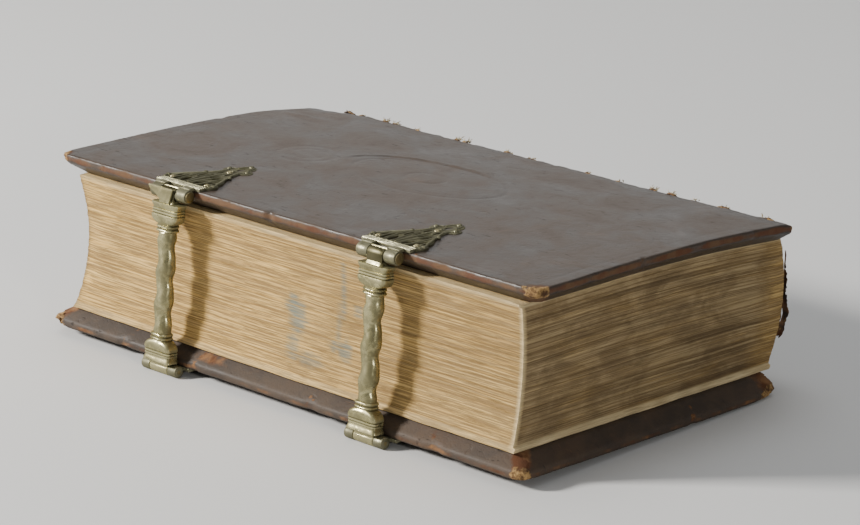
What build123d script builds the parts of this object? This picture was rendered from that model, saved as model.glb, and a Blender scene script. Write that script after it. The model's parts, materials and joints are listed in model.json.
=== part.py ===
from build123d import *
from math import asin, atan2, degrees, hypot, pi, sin
import os

# An old folio book in leather over wooden boards, shut with two brass clasps.
# All sizes are in millimetres. The pieces are drawn in the book's own frame: X runs
# from head (-X) to tail (+X), the fore-edge with the clasps is at -Y, the spine at +Y,
# and Z rises from the underside of the lower cover, whose middle is the origin.
# At the end everything is leaned onto its true resting points, which are the two
# hinge rolls at the fore-edge and the lower cover's spine edge.

# covers
cover_length = 360.0
cover_width = 202.4
cover_thickness = 10.8
cover_edge = 4.6
bevel_width = 9.0
corner_radius = 5.0
inner_corner_radius = 2.5
leather_thickness = 0.9
turn_in = 24.0
pastedown_clearance = 0.3

# how the shut book has settled: height at the fore-edge, how much lower the spine
# side is, and how far the upper cover has slipped towards the spine
shut_height = 97.3
spine_drop = 3.7
cocked = 7.7

# text block
head_square = 9.0
tail_square = 13.0
leaf_clearance = 0.3
fore_square_low = 7.0
fore_square_top = 3.6
fore_hollow = 3.9
spine_overhang_low = 3.8
spine_overhang_top = 3.1
spine_round = 8.0

# spine
cord_count = 5
cord_width = 6.0
cord_height = 4.2
lining_thickness = 0.8
spine_leather_thickness = 1.2
seat_clearance = 0.2
lining_foot_margin = 6.2
lining_head_margin = 5.8
leather_foot_margin = 16.2
leather_head_margin = 19.8
end_margin = 1.5

# clasps: middle of each along the fore-edge
clasp_places = (-81.0, 76.0)
plate_length = 56.0
plate_half_width = 17.0
plate_thickness = 1.6
plate_seat = 0.2
moulding_height = 0.9
moulding_depth = 4.6
# slots through a plate, in its own plane: x, y, length, width, turn; side ones are mirrored
middle_slots = ((0, 12.5, 11, 3.4, 90), (0, 27.5, 10, 3.0, 90), (0, 46.5, 7, 2.6, 90))
side_slots = ((8.2, 13.5, 11, 3.0, 60), (6.2, 23.5, 7, 2.2, 75))
rivet_places = ((-13.6, 8.5), (13.6, 8.5), (0, 37.5))
rivet_radius = 1.0
rivet_head_radius = 1.9
rivet_head_height = 1.1
rivet_length = 8.0
roll_half_length = 13.6
hinge_roll_radius = 3.25
hinge_roll_drop = 1.75
hinge_pin_radius = 1.2
running_clearance = 0.05
knuckle_half = 7.0
side_clearance = 0.3
catch_roll_radius = 3.8
catch_roll_drop = 2.9
catch_bar_radius = 1.6
bar_head_thickness = 0.8
bar_head_radius = 3.0
tongue_half = 5.6
edge_clearance = 0.5
board_clearance = 0.2

# clasp arm
arm_half_depth = 3.3
arm_forward = 0.9
foot_clearance = 0.45
shaft_radius = 5.4
shaft_wave = 0.5
shaft_waves = 4
cap_clearance = 1.4
corner_round = 0.8
# steps of the cast mouldings at the arm's foot: start, end, half-width at each;
# the head mirrors them
mouldings = (
    (0.0, 1.7, 10.6, 10.6), (1.7, 2.7, 9.7, 9.7), (2.7, 4.3, 10.3, 10.3), (4.3, 5.7, 10.3, 9.9),
    (5.7, 12.1, 9.9, 6.0), (12.1, 13.3, 6.6, 6.6), (13.3, 14.3, 5.8, 5.8), (14.3, 15.9, 6.6, 6.6),
)

# joints, in degrees from the shut book
cover_opening = 90.0
clasp_opening = 90.0
joint_margin = 1.0

os.makedirs("parts", exist_ok=True)

lower = Plane.XY
upper_lean = degrees(asin(spine_drop / cover_width))
upper = Plane(
    origin=(0, cocked, shut_height - spine_drop / 2),
    x_dir=(1, 0, 0),
    z_dir=Vector(0, 0, 1).rotate(Axis.X, -upper_lean),
)
half_length = cover_length / 2
half_width = cover_width / 2
finished = []


def finish(builder, name):
    """Name a finished piece and keep it for leaning and export."""
    builder.part.label = name
    finished.append(builder.part)


def bevelled_slab(plane, inward, skin):
    """A board seen from its outer face: square edge, then a bevel on the three open sides.

    skin is how far this slab lies inside the leather's outer surface."""
    spine_shift = bevel_width / 2
    with BuildPart() as slab:
        with BuildSketch(plane.offset(inward * skin)):
            RectangleRounded(cover_length - 2 * skin, cover_width - 2 * skin, corner_radius)
        extrude(amount=inward * (cover_edge - 2 * skin))
        with BuildSketch(plane.offset(inward * (cover_edge - skin))):
            RectangleRounded(cover_length - 2 * skin, cover_width - 2 * skin, corner_radius)
        with BuildSketch(plane.offset(inward * (cover_thickness - skin))):
            with Locations((0, spine_shift)):
                RectangleRounded(
                    cover_length - 2 * skin - 2 * bevel_width,
                    cover_width - 2 * skin - bevel_width,
                    inner_corner_radius,
                )
        loft(ruled=True)
    return slab.part


def window(plane, inward, clearance):
    """The part of a board's inner face that the leather's turn-ins leave open."""
    with BuildPart() as opening:
        with BuildSketch(plane.offset(inward * (cover_thickness - leather_thickness))):
            Rectangle(
                cover_length - 2 * turn_in - 2 * clearance,
                cover_width - 2 * turn_in - 2 * clearance,
            )
        extrude(amount=inward * leather_thickness)
    return opening.part


def cross_plane(plane, x, y, z):
    """A plane square to the fore-edge at a point of a clasp fitting's own plane."""
    return Plane(
        origin=plane.from_local_coords((x, y, z)),
        x_dir=plane.y_dir,
        z_dir=plane.x_dir,
    )


def plate_outline():
    """Half-outline of a clasp's fixing plate, mirrored: shoulders, waist and trefoil end."""
    with BuildSketch() as outline:
        with BuildLine():
            half = Polyline((0, 0), (plate_half_width, 0), (plate_half_width, 4))
            shoulder = ThreePointArc(
                half @ 1, (plate_half_width + 2.6, 11), (plate_half_width - 0.8, 19)
            )
            waist = ThreePointArc(shoulder @ 1, (10.4, 24.5), (7.6, 33))
            neck = Line(waist @ 1, (4.6, 39))
            lobe = ThreePointArc(neck @ 1, (8.6, 44), (4.8, 48.6))
            ThreePointArc(lobe @ 1, (4.2, plate_length - 2.4), (0, plate_length))
            mirror(about=Plane.YZ)
        make_face()
    return outline.sketch


def fixing_plate(plane, roll_y, roll_z, roll_radius, bore_radius, inner_half):
    """A cast openwork plate whose edge carries two knuckles.

    plane lies on the cover with its origin at the cover's edge, Y running inboard and
    Z out of the cover. The plate is seated a little into the leather. The knuckles leave
    the middle free for the clasp arm."""
    with BuildPart() as plate:
        with BuildSketch(plane.offset(-plate_seat)):
            add(plate_outline())
            for x, y, length, width, angle in middle_slots:
                with Locations((x, y)):
                    SlotOverall(length, width, rotation=angle, mode=Mode.SUBTRACT)
            for x, y, length, width, angle in side_slots:
                with Locations((x, y)):
                    SlotOverall(length, width, rotation=180 - angle, mode=Mode.SUBTRACT)
                with Locations((-x, y)):
                    SlotOverall(length, width, rotation=angle, mode=Mode.SUBTRACT)
            with Locations(*rivet_places):
                Circle(rivet_radius, mode=Mode.SUBTRACT)
        extrude(amount=plate_seat + plate_thickness)
        for height, depth in ((moulding_height, moulding_depth / 2), (moulding_height / 2, moulding_depth)):
            with BuildSketch(plane.offset(plate_thickness)):
                with Locations((0, depth / 2)):
                    Rectangle(2 * plate_half_width, depth)
            extrude(amount=height)
        for start in (-roll_half_length, inner_half):
            knuckle_length = roll_half_length - inner_half
            with BuildSketch(cross_plane(plane, start, roll_y, roll_z)):
                Circle(roll_radius)
            extrude(amount=knuckle_length)
            with BuildSketch(plane):
                with Locations((start + knuckle_length / 2, roll_y / 2)):
                    Rectangle(knuckle_length, -roll_y)
            extrude(amount=plate_thickness)
        with BuildSketch(cross_plane(plane, -2 * roll_half_length, roll_y, roll_z)):
            Circle(bore_radius)
        extrude(amount=4 * roll_half_length, mode=Mode.SUBTRACT)
    return plate


def rivets(plane):
    """Three round-headed nails that hold a fixing plate to its cover."""
    with BuildPart() as nails:
        with BuildSketch(plane.offset(plate_thickness)):
            with Locations(*rivet_places):
                Circle(rivet_radius)
        extrude(amount=-rivet_length)
        with BuildSketch(plane.offset(plate_thickness)):
            with Locations(*rivet_places):
                Circle(rivet_head_radius)
        extrude(amount=rivet_head_height, taper=35)
    return nails


def seat_print(plane):
    """The print that a fixing plate has pressed into the leather under it, as a cut."""
    with BuildPart() as print_cut:
        with BuildSketch(plane.offset(-plate_seat)):
            add(plate_outline())
        extrude(amount=plate_seat)
    return print_cut.part


def nail_holes(plane):
    """The nails' shanks, as a cut in the leather and the board."""
    with BuildPart() as holes:
        with BuildSketch(plane.offset(plate_thickness)):
            with Locations(*rivet_places):
                Circle(rivet_radius)
        extrude(amount=-rivet_length)
    return holes.part


def catch_plane(x):
    """Where a catch plate lies: on the upper cover, from its fore-edge inboard."""
    return Plane(
        origin=upper.from_local_coords((x, -half_width, 0)),
        x_dir=upper.x_dir,
        z_dir=upper.z_dir,
    )


def hinge_plane(x):
    """Where a hinge plate lies: under the lower cover, from its fore-edge inboard."""
    return Plane(origin=(x, -half_width, 0), x_dir=(-1, 0, 0), z_dir=(0, 0, -1))


foot_start = hinge_roll_radius + foot_clearance
cap_gap = catch_roll_radius + cap_clearance
catch_roll_y = -(catch_roll_radius + board_clearance)
hinge_roll_y = -(hinge_roll_radius + edge_clearance)

# lower and upper covers: wooden board, leather over it, paper pasted inside
covers = (
    ("lower", lower, 1, [hinge_plane(x) for x in clasp_places]),
    ("upper", upper, -1, [catch_plane(x) for x in clasp_places]),
)
for side, face, inward, plates in covers:
    with BuildPart() as board:
        add(bevelled_slab(face, inward, leather_thickness))
        for plate_place in plates:
            add(nail_holes(plate_place), mode=Mode.SUBTRACT)
    finish(board, side + "_board")
    with BuildPart() as leather:
        add(bevelled_slab(face, inward, 0))
        add(bevelled_slab(face, inward, leather_thickness), mode=Mode.SUBTRACT)
        add(window(face, inward, 0), mode=Mode.SUBTRACT)
        for plate_place in plates:
            add(seat_print(plate_place), mode=Mode.SUBTRACT)
            add(nail_holes(plate_place), mode=Mode.SUBTRACT)
    finish(leather, side + "_cover_leather")
    with BuildPart() as pastedown:
        add(window(face, inward, pastedown_clearance))
    finish(pastedown, side + "_pastedown")

# heights on the spine, worked from the covers
spine_low = cover_thickness + lining_foot_margin
spine_top = shut_height - spine_drop - cover_thickness - lining_head_margin
leather_low = cover_thickness + leather_foot_margin
leather_top = shut_height - spine_drop - cover_thickness - leather_head_margin

# text block: sewn gatherings, hollow at the fore-edge and round at the spine
block_floor = cover_thickness + leaf_clearance
fore_low = Vector(-half_width + fore_square_low, block_floor)
spine_foot = Vector(half_width + spine_overhang_low, block_floor)
fore_high_3d = upper.from_local_coords((0, -half_width + fore_square_top, -block_floor))
spine_high_3d = upper.from_local_coords((0, half_width + spine_overhang_top, -block_floor))
fore_high = Vector(fore_high_3d.Y, fore_high_3d.Z)
spine_high = Vector(spine_high_3d.Y, spine_high_3d.Z)
fore_middle = (fore_low + fore_high) / 2 + Vector(fore_hollow, 0)
spine_middle = (spine_foot + spine_high) / 2 + Vector(spine_round, 0)
block_start = -half_length + head_square
block_end = half_length - tail_square
block_length = block_end - block_start


def block_section():
    """The text block's section across its length."""
    with BuildSketch() as section:
        with BuildLine():
            Line(fore_low, spine_foot)
            ThreePointArc(spine_foot, spine_middle, spine_high)
            Line(spine_high, fore_high)
            ThreePointArc(fore_high, fore_middle, fore_low)
        make_face()
    return section.sketch


def spine_band(x, width, rise, low, top):
    """A strip of even thickness laid on the round spine, from z low to z top."""
    with BuildPart() as band:
        with BuildSketch(Plane.YZ.offset(x)):
            add(block_section())
            offset(amount=rise)
            add(block_section(), mode=Mode.SUBTRACT)
            with Locations((spine_middle.X, (low + top) / 2)):
                Rectangle(4 * spine_round, top - low, mode=Mode.INTERSECT)
        extrude(amount=width)
    return band.part


with BuildPart() as text_block:
    with BuildSketch(Plane.YZ.offset(block_start)):
        add(block_section())
    extrude(amount=block_length)
finish(text_block, "text_block")

# spine: raised sewing cords, paper linings between them, and what is left of the leather
cord_pitch = block_length / (cord_count + 1)
cord_places = [block_start + cord_pitch * (n + 1) for n in range(cord_count)]
for number, x in enumerate(cord_places, 1):
    with BuildPart() as cord:
        add(spine_band(x - cord_width / 2, cord_width, cord_height, spine_low, spine_top))
    finish(cord, f"sewing_cord_{number}")

panel_starts = [block_start + end_margin] + [x + cord_width / 2 + seat_clearance for x in cord_places]
panel_ends = [x - cord_width / 2 - seat_clearance for x in cord_places] + [block_end - end_margin]
for number, (start, end) in enumerate(zip(panel_starts, panel_ends), 1):
    with BuildPart() as lining:
        add(spine_band(start, end - start, lining_thickness, spine_low, spine_top))
    finish(lining, f"spine_lining_{number}")

under_leather = lining_thickness + seat_clearance
over_cord = cord_height + seat_clearance
leather_reach = cord_width / 2 + seat_clearance
with BuildPart() as spine_leather:
    add(spine_band(
        block_start + end_margin, block_length - 2 * end_margin,
        under_leather + spine_leather_thickness, leather_low, leather_top,
    ))
    for x in cord_places:
        half = leather_reach + spine_leather_thickness
        add(spine_band(x - half, 2 * half, over_cord + spine_leather_thickness, leather_low, leather_top))
    add(
        spine_band(block_start, block_length, under_leather, leather_low, leather_top),
        mode=Mode.SUBTRACT,
    )
    for x in cord_places:
        add(
            spine_band(x - leather_reach, 2 * leather_reach, over_cord, leather_low, leather_top),
            mode=Mode.SUBTRACT,
        )
finish(spine_leather, "spine_leather")

# clasps: a catch on the upper cover, a hinge plate under the lower one, and an arm
# that turns on the hinge pin and hooks over the catch bar
for number, x in enumerate(clasp_places, 1):
    catch_place = catch_plane(x)
    hinge_place = hinge_plane(x)
    catch_plate = fixing_plate(
        catch_place, catch_roll_y, -catch_roll_drop, catch_roll_radius,
        catch_bar_radius, tongue_half + side_clearance,
    )
    finish(catch_plate, f"catch_plate_{number}")
    finish(rivets(catch_place), f"catch_rivets_{number}")

    with BuildPart() as catch_bar:
        with BuildSketch(cross_plane(catch_place, -roll_half_length, catch_roll_y, -catch_roll_drop)):
            Circle(catch_bar_radius)
        extrude(amount=2 * roll_half_length)
        for end, out in ((-roll_half_length, -1), (roll_half_length, 1)):
            with BuildSketch(cross_plane(catch_place, end, catch_roll_y, -catch_roll_drop)):
                Circle(bar_head_radius)
            extrude(amount=out * bar_head_thickness)
    finish(catch_bar, f"catch_bar_{number}")

    hinge_plate = fixing_plate(
        hinge_place, hinge_roll_y, hinge_roll_drop, hinge_roll_radius,
        hinge_pin_radius, knuckle_half + side_clearance,
    )
    finish(hinge_plate, f"hinge_plate_{number}")
    finish(rivets(hinge_place), f"hinge_rivets_{number}")
    with BuildPart() as hinge_pin:
        with BuildSketch(cross_plane(hinge_place, -roll_half_length, hinge_roll_y, hinge_roll_drop)):
            Circle(hinge_pin_radius)
        extrude(amount=2 * roll_half_length)
    finish(hinge_pin, f"hinge_pin_{number}")

    # the arm's own plane: origin on the hinge axis, Z towards the catch bar, Y inboard
    hinge_axis = hinge_place.from_local_coords((0, hinge_roll_y, hinge_roll_drop))
    bar_axis = catch_place.from_local_coords((0, catch_roll_y, -catch_roll_drop))
    span = (bar_axis - hinge_axis).length
    arm = Plane(origin=hinge_axis, x_dir=(1, 0, 0), z_dir=bar_axis - hinge_axis)
    body = Plane(origin=arm.from_local_coords((0, -arm_forward, 0)), x_dir=arm.x_dir, z_dir=arm.z_dir)
    cap_top = span - cap_gap
    moulded_length = mouldings[-1][1]
    shaft_start = foot_start + moulded_length
    shaft_length = cap_top - moulded_length - shaft_start
    with BuildPart() as clasp_arm:
        for start, end, wide_start, wide_end in mouldings:
            for base, way in ((foot_start, 1), (cap_top, -1)):
                for station, wide in ((start, wide_start), (end, wide_end)):
                    with BuildSketch(body.offset(base + way * station)):
                        RectangleRounded(2 * wide, 2 * arm_half_depth, corner_round)
                loft(ruled=True)
        steps = 8 * shaft_waves
        with BuildSketch(Plane(origin=body.origin, x_dir=body.x_dir, z_dir=-body.y_dir)):
            with BuildLine():
                wave = Spline(*[
                    (
                        shaft_radius + shaft_wave * sin(2 * pi * shaft_waves * n / steps),
                        shaft_start + shaft_length * n / steps,
                    )
                    for n in range(steps + 1)
                ])
                Polyline(wave @ 1, (0, shaft_start + shaft_length), (0, shaft_start), wave @ 0)
            make_face()
        revolve(axis=Axis(body.origin, body.z_dir))
        with BuildSketch(body.offset(shaft_start)):
            with Locations((0, arm_half_depth + shaft_radius)):
                Rectangle(4 * shaft_radius, 2 * shaft_radius)
        extrude(amount=shaft_length, mode=Mode.SUBTRACT)
        with BuildSketch(cross_plane(arm, -knuckle_half, 0, 0)):
            Circle(hinge_roll_radius)
            with Locations((-arm_forward / 2, foot_start / 2)):
                Rectangle(2 * hinge_roll_radius - arm_forward, foot_start)
        extrude(amount=2 * knuckle_half)
        with BuildSketch(cross_plane(arm, -2 * knuckle_half, 0, 0)):
            Circle(hinge_pin_radius + running_clearance)
        extrude(amount=4 * knuckle_half, mode=Mode.SUBTRACT)
        # the hook's tongue stands before the bar, rounded like the catch's rolls
        bar_side = catch_bar_radius + side_clearance
        with BuildSketch(cross_plane(arm, -tongue_half, 0, span)):
            Circle(catch_roll_radius)
            with Locations((-catch_roll_radius / 2, -cap_gap / 2)):
                Rectangle(catch_roll_radius, cap_gap)
            with Locations((catch_roll_radius - bar_side, 0)):
                Rectangle(2 * catch_roll_radius, 4 * catch_roll_radius, mode=Mode.SUBTRACT)
        extrude(amount=2 * tongue_half)
    finish(clasp_arm, f"clasp_arm_{number}")

# the book leans onto the hinge rolls and the lower cover's spine edge
roll_to_spine = 2 * half_width - hinge_roll_y
rest_lean = asin(hinge_roll_radius / hypot(roll_to_spine, hinge_roll_drop))
rest_lean += atan2(hinge_roll_drop, roll_to_spine)
leaned = Location((0, 0, 0), (-degrees(rest_lean), 0, 0))
box = Compound(children=[piece.moved(leaned) for piece in finished]).bounding_box()
resting = Location((-box.center().X, -box.center().Y, -box.min.Z)) * leaned
for piece in finished:
    placed = piece.moved(resting)
    placed.label = piece.label
    export_step(placed, f"parts/{piece.label}.step")

# joint axes and mount places in the resting frame
marks = {
    "back_joint": (0, half_width + joint_margin, cover_thickness),
    "front_joint": tuple(upper.from_local_coords((0, half_width + joint_margin, -cover_thickness))),
    "underside": (0, 0, 0),
    "upper_face": tuple(upper.from_local_coords((0, 0, 0))),
}
for number, x in enumerate(clasp_places, 1):
    marks[f"clasp_{number}_hinge"] = tuple(hinge_plane(x).from_local_coords((0, hinge_roll_y, hinge_roll_drop)))
for name, place in marks.items():
    point = (resting * Location(place)).position
    print(name, round(point.X, 4), round(point.Y, 4), round(point.Z, 4))
print("lean_deg", round(degrees(rest_lean), 4), "upper_lean_deg", round(upper_lean, 4))
print("covers open", cover_opening, "clasps open", clasp_opening)
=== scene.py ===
import json
import math
import random
from collections import namedtuple

import bmesh
import bpy
from mathutils import Matrix, Vector, noise
from mathutils.bvhtree import BVHTree

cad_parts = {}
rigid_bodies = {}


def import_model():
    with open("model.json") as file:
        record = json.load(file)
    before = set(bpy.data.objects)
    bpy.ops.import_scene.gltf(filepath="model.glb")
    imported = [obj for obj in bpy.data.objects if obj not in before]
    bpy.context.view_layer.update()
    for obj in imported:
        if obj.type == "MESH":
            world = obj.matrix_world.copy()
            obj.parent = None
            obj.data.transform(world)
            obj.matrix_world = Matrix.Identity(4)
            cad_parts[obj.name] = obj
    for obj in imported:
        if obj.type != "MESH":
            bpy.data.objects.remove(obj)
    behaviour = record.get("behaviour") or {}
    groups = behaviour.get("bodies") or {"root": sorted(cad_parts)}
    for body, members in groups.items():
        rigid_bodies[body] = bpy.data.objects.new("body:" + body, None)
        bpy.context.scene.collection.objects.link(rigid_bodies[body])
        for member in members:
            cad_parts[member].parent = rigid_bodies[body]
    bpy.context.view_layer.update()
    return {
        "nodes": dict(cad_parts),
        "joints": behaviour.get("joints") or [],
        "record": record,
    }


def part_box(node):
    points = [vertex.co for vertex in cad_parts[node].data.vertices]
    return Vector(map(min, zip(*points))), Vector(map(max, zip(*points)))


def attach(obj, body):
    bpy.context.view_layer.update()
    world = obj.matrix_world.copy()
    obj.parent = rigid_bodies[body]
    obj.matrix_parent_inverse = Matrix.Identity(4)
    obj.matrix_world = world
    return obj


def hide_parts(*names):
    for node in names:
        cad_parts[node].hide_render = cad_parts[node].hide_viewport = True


# An old folio in leather over wooden boards, shut with two cast brass clasps.
# Pieces are drawn in millimetres, in the axes of the part they belong to: a cover's outer
# face, the book as it lies on its lower cover, a clasp's fixing plate or a clasp's arm.
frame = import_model()

MM = 0.001
record = frame["record"]
mounts = {mount["name"]: mount for mount in record["mounts"]}
hinges = {joint["name"]: joint for joint in frame["joints"]}
scene_objects = bpy.context.scene.collection.objects


# ---------------------------------------------------------------- places and measures

def face_place(mount_name, side):
    """Axes on a cover's outer face: Z out of the book and Y towards the spine."""
    out = Vector(mounts[mount_name]["axis"]).normalized()
    along = Vector((side, 0, 0))
    turn = Matrix((along, out.cross(along), out)).transposed().to_4x4()
    return Matrix.Translation(mounts[mount_name]["pos_m"]) @ turn @ Matrix.Scale(MM, 4)


def node_corners(node, place):
    """A CAD node's points in a place's own axes, in millimetres."""
    back = place.inverted()
    return [back @ vertex.co for vertex in frame["nodes"][node].data.vertices]


def node_box(node, place):
    """Lowest and highest corner of a CAD node in a place's own axes."""
    points = node_corners(node, place)
    low = Vector([min(point[axis] for point in points) for axis in range(3)])
    high = Vector([max(point[axis] for point in points) for axis in range(3)])
    return low, high


def node_surface(node, place):
    """A CAD node as a surface that rays can meet, in a place's own axes."""
    polygons = [tuple(p.vertices) for p in frame["nodes"][node].data.polygons]
    return BVHTree.FromPolygons(node_corners(node, place), polygons)


upper = face_place("upper_face", 1)
lower = face_place("underside", -1)
book = lower @ Matrix.Rotation(math.pi, 4, "Y")

board_low, board_high = node_box("upper_cover_leather", upper)
HALF_LENGTH = board_high.x
HALF_WIDTH = board_high.y
BOARD = -board_low.z
clasp_places = [hinges[f"clasp_{n}_hinge"]["pos_m"][0] / MM for n in (1, 2)]


COVER_BOW = 2.6


def clamp(value):
    """A value held between 0 and 1."""
    return max(0.0, min(1.0, value))


def warp(y):
    """How far the upper cover has bowed up here, most a little towards its spine side."""
    share = clamp((y + HALF_WIDTH) / (2 * HALF_WIDTH))
    return COVER_BOW * math.sin(math.pi * share ** 1.25)


def ease(value):
    """A smooth step from 0 to 1."""
    t = clamp(value)
    return t * t * (3 - 2 * t)


def rough(x, y=0.0, z=0.0):
    """Smooth noise from about -1 to 1."""
    return noise.noise(Vector((x, y, z)))


# ---------------------------------------------------------------- making pieces

def draw_piece(name, bm, place, body, finish, stands_for=(), crease=None):
    """Put a drawn shape in its place, give it its finish and let it ride on a body."""
    bmesh.ops.transform(bm, matrix=place, verts=bm.verts)
    mesh = bpy.data.meshes.new(name)
    bm.to_mesh(mesh)
    bm.free()
    mesh.polygons.foreach_set("use_smooth", [True] * len(mesh.polygons))
    if crease:
        mesh.set_sharp_from_angle(angle=math.radians(crease))
    mesh.materials.append(finish)
    piece = bpy.data.objects.new(name, mesh)
    scene_objects.link(piece)
    if stands_for:
        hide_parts(*stands_for)
    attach(piece, body)
    return piece


def draw_out(bm, edges):
    """Extrude an open or closed line of edges, and return the new line and its points."""
    made = bmesh.ops.extrude_edge_only(bm, edges=edges)["geom"]
    points = {item for item in made if isinstance(item, bmesh.types.BMVert)}
    line = [
        item for item in made
        if isinstance(item, bmesh.types.BMEdge) and all(vert in points for vert in item.verts)
    ]
    return line, points


def loft(bm, sections):
    """Skin closed sections that have the same number of points, and cap both ends."""
    number = bm.verts.layers.int.get("number") or bm.verts.layers.int.new("number")
    points = bmesh.ops.create_circle(bm, cap_ends=False, radius=1, segments=len(sections[0]))["verts"]
    for index, point in enumerate(points):
        point[number] = index
    line = list({edge for point in points for edge in point.link_edges})
    bmesh.ops.contextual_create(bm, geom=line)
    for section in sections:
        if section is not sections[0]:
            line, points = draw_out(bm, line)
        for point in points:
            point.co = section[point[number]]
    bmesh.ops.contextual_create(bm, geom=line)


def oval(half_width, front, back, power, middle=(0.0, 0.0), count=48):
    """Points round a cast section: power 2 is an ellipse, and larger powers are boxier."""
    points = []
    for index in range(count):
        angle = 2 * math.pi * index / count
        wide = math.copysign(abs(math.cos(angle)) ** (2 / power), math.cos(angle))
        deep = math.copysign(abs(math.sin(angle)) ** (2 / power), math.sin(angle))
        reach = back if deep > 0 else front
        points.append((middle[0] + half_width * wide, middle[1] + reach * deep))
    return points


def soften(bm, edges, width):
    """Round edges off with two steps."""
    bmesh.ops.bevel(
        bm, geom=edges, offset=width, offset_type="OFFSET", segments=2, profile=0.5,
        affect="EDGES", material=-1, clamp_overlap=True,
    )


def soft_block(bm, middle, size, width):
    """A rectangular block with its edges rounded off."""
    place = Matrix.Translation(middle) @ Matrix.Diagonal((*size, 1))
    made = bmesh.ops.create_cube(bm, size=1, matrix=place)["verts"]
    soften(bm, list({edge for vert in made for edge in vert.link_edges}), width)


def roll(bm, start, end, y, z, radius, rounding):
    """A solid roll along X with softened rims."""
    turn = Matrix.Translation(((start + end) / 2, y, z)) @ Matrix.Rotation(math.pi / 2, 4, "Y")
    made = bmesh.ops.create_cone(
        bm, cap_ends=True, segments=40, radius1=radius, radius2=radius, depth=end - start, matrix=turn,
    )
    rims = [
        edge for edge in {edge for vert in made["verts"] for edge in vert.link_edges}
        if abs(edge.verts[0].co.x - edge.verts[1].co.x) < 0.5 * (end - start)
    ]
    soften(bm, rims, rounding)


def knob(bm, x, y, z, radius, flatness=0.7):
    """A cast boss, wider than it is high."""
    place = Matrix.Translation((x, y, z)) @ Matrix.Diagonal((1, 1, flatness, 1))
    bmesh.ops.create_uvsphere(bm, u_segments=14, v_segments=9, radius=radius, matrix=place)


def curve_shape(bm, curve):
    """Add a curve's final shape to a drawing."""
    holder = bpy.data.objects.new("drawing", curve)
    mesh = bpy.data.meshes.new_from_object(holder)
    bm.from_mesh(mesh)
    bpy.data.objects.remove(holder)
    bpy.data.curves.remove(curve)
    bpy.data.meshes.remove(mesh)


def bead(bm, points, radii, resolution=5):
    """A raised cast line through points, with its own radius at each."""
    curve = bpy.data.curves.new("bead", "CURVE")
    curve.dimensions = "3D"
    curve.bevel_depth = 1
    curve.bevel_resolution = 2
    curve.use_fill_caps = True
    curve.resolution_u = resolution
    spline = curve.splines.new("NURBS")
    spline.points.add(len(points) - 1)
    for point, place, radius in zip(spline.points, points, radii):
        point.co = (*place, 1)
        point.radius = radius
    spline.order_u = min(4, len(points))
    spline.use_endpoint_u = True
    curve_shape(bm, curve)


def flat_casting(bm, outlines, low, high, softening):
    """A flat casting between two heights: the first outline, less the others, with soft edges."""
    curve = bpy.data.curves.new("casting", "CURVE")
    curve.dimensions = "2D"
    curve.fill_mode = "BOTH"
    curve.extrude = (high - low) / 2 - softening
    curve.bevel_depth = softening
    curve.offset = -softening
    curve.bevel_resolution = 2
    curve.resolution_u = 5
    for outline in outlines:
        spline = curve.splines.new("BEZIER")
        spline.bezier_points.add(len(outline) - 1)
        for point, (x, y, corner) in zip(spline.bezier_points, outline):
            point.co = (x, y, 0)
            handle = "VECTOR" if corner else "AUTO"
            point.handle_left_type = handle
            point.handle_right_type = handle
        spline.use_cyclic_u = True
    before = set(bm.verts)
    curve_shape(bm, curve)
    made = [vert for vert in bm.verts if vert not in before]
    bmesh.ops.translate(bm, vec=(0, 0, (low + high) / 2), verts=made)
    bmesh.ops.remove_doubles(bm, verts=made, dist=0.002)


# ---------------------------------------------------------------- finishes

def new_node(tree, kind, inputs=None, **settings):
    """Add a shader node, and set its settings and its inputs to values or other sockets."""
    made = tree.nodes.new("ShaderNode" + kind)
    for key, value in settings.items():
        setattr(made, key, value)
    for key, value in (inputs or {}).items():
        if isinstance(value, bpy.types.NodeSocket):
            tree.links.new(value, made.inputs[key])
        else:
            made.inputs[key].default_value = value
    return made


def math_node(tree, operation, first, second=0.0, limit=False):
    """One sum on two values."""
    made = new_node(tree, "Math", {0: first, 1: second}, operation=operation, use_clamp=limit)
    return made.outputs[0]


def scaled(tree, value, factor):
    """A value times another."""
    return math_node(tree, "MULTIPLY", value, factor)


def added(tree, *values, limit=False):
    """The sum of several values."""
    total = values[0]
    for value in values[1:-1]:
        total = math_node(tree, "ADD", total, value)
    return math_node(tree, "ADD", total, values[-1], limit=limit)


def mixed(tree, share, first, second):
    """A colour mixed from two."""
    fill = {0: share, 6: first, 7: second}
    return new_node(tree, "Mix", fill, data_type="RGBA").outputs[2]


def stepped(tree, value, low, high, out_low=0.0, out_high=1.0):
    """A value mapped smoothly from one span to another."""
    made = new_node(
        tree, "MapRange",
        {"Value": value, "From Min": low, "From Max": high, "To Min": out_low, "To Max": out_high},
        interpolation_type="SMOOTHSTEP",
    )
    return made.outputs[0]


def cloud(tree, vector, scale, detail=4.0, roughness=0.55, distortion=0.0):
    """Soft noise from 0 to 1."""
    made = new_node(
        tree, "TexNoise",
        {"Vector": vector, "Scale": scale, "Detail": detail, "Roughness": roughness,
         "Distortion": distortion},
    )
    return made.outputs["Fac"]


def stretched(tree, vector, scale, turn=0.0):
    """Coordinates scaled unevenly, and turned about Z."""
    made = new_node(tree, "Mapping", {"Vector": vector, "Scale": scale, "Rotation": (0, 0, turn)})
    return made.outputs[0]


def effect(name, inputs, outputs):
    """A shared effect: an empty node group with named inputs and outputs."""
    tree = bpy.data.node_groups.new(name, "ShaderNodeTree")
    for label, kind, value in inputs:
        socket = tree.interface.new_socket(name=label, in_out="INPUT", socket_type="NodeSocket" + kind)
        if value is not None:
            socket.default_value = value
    for label, kind in outputs:
        tree.interface.new_socket(name=label, in_out="OUTPUT", socket_type="NodeSocket" + kind)
    given = tree.nodes.new("NodeGroupInput").outputs
    result = tree.nodes.new("NodeGroupOutput").inputs
    return tree, given, result


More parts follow.
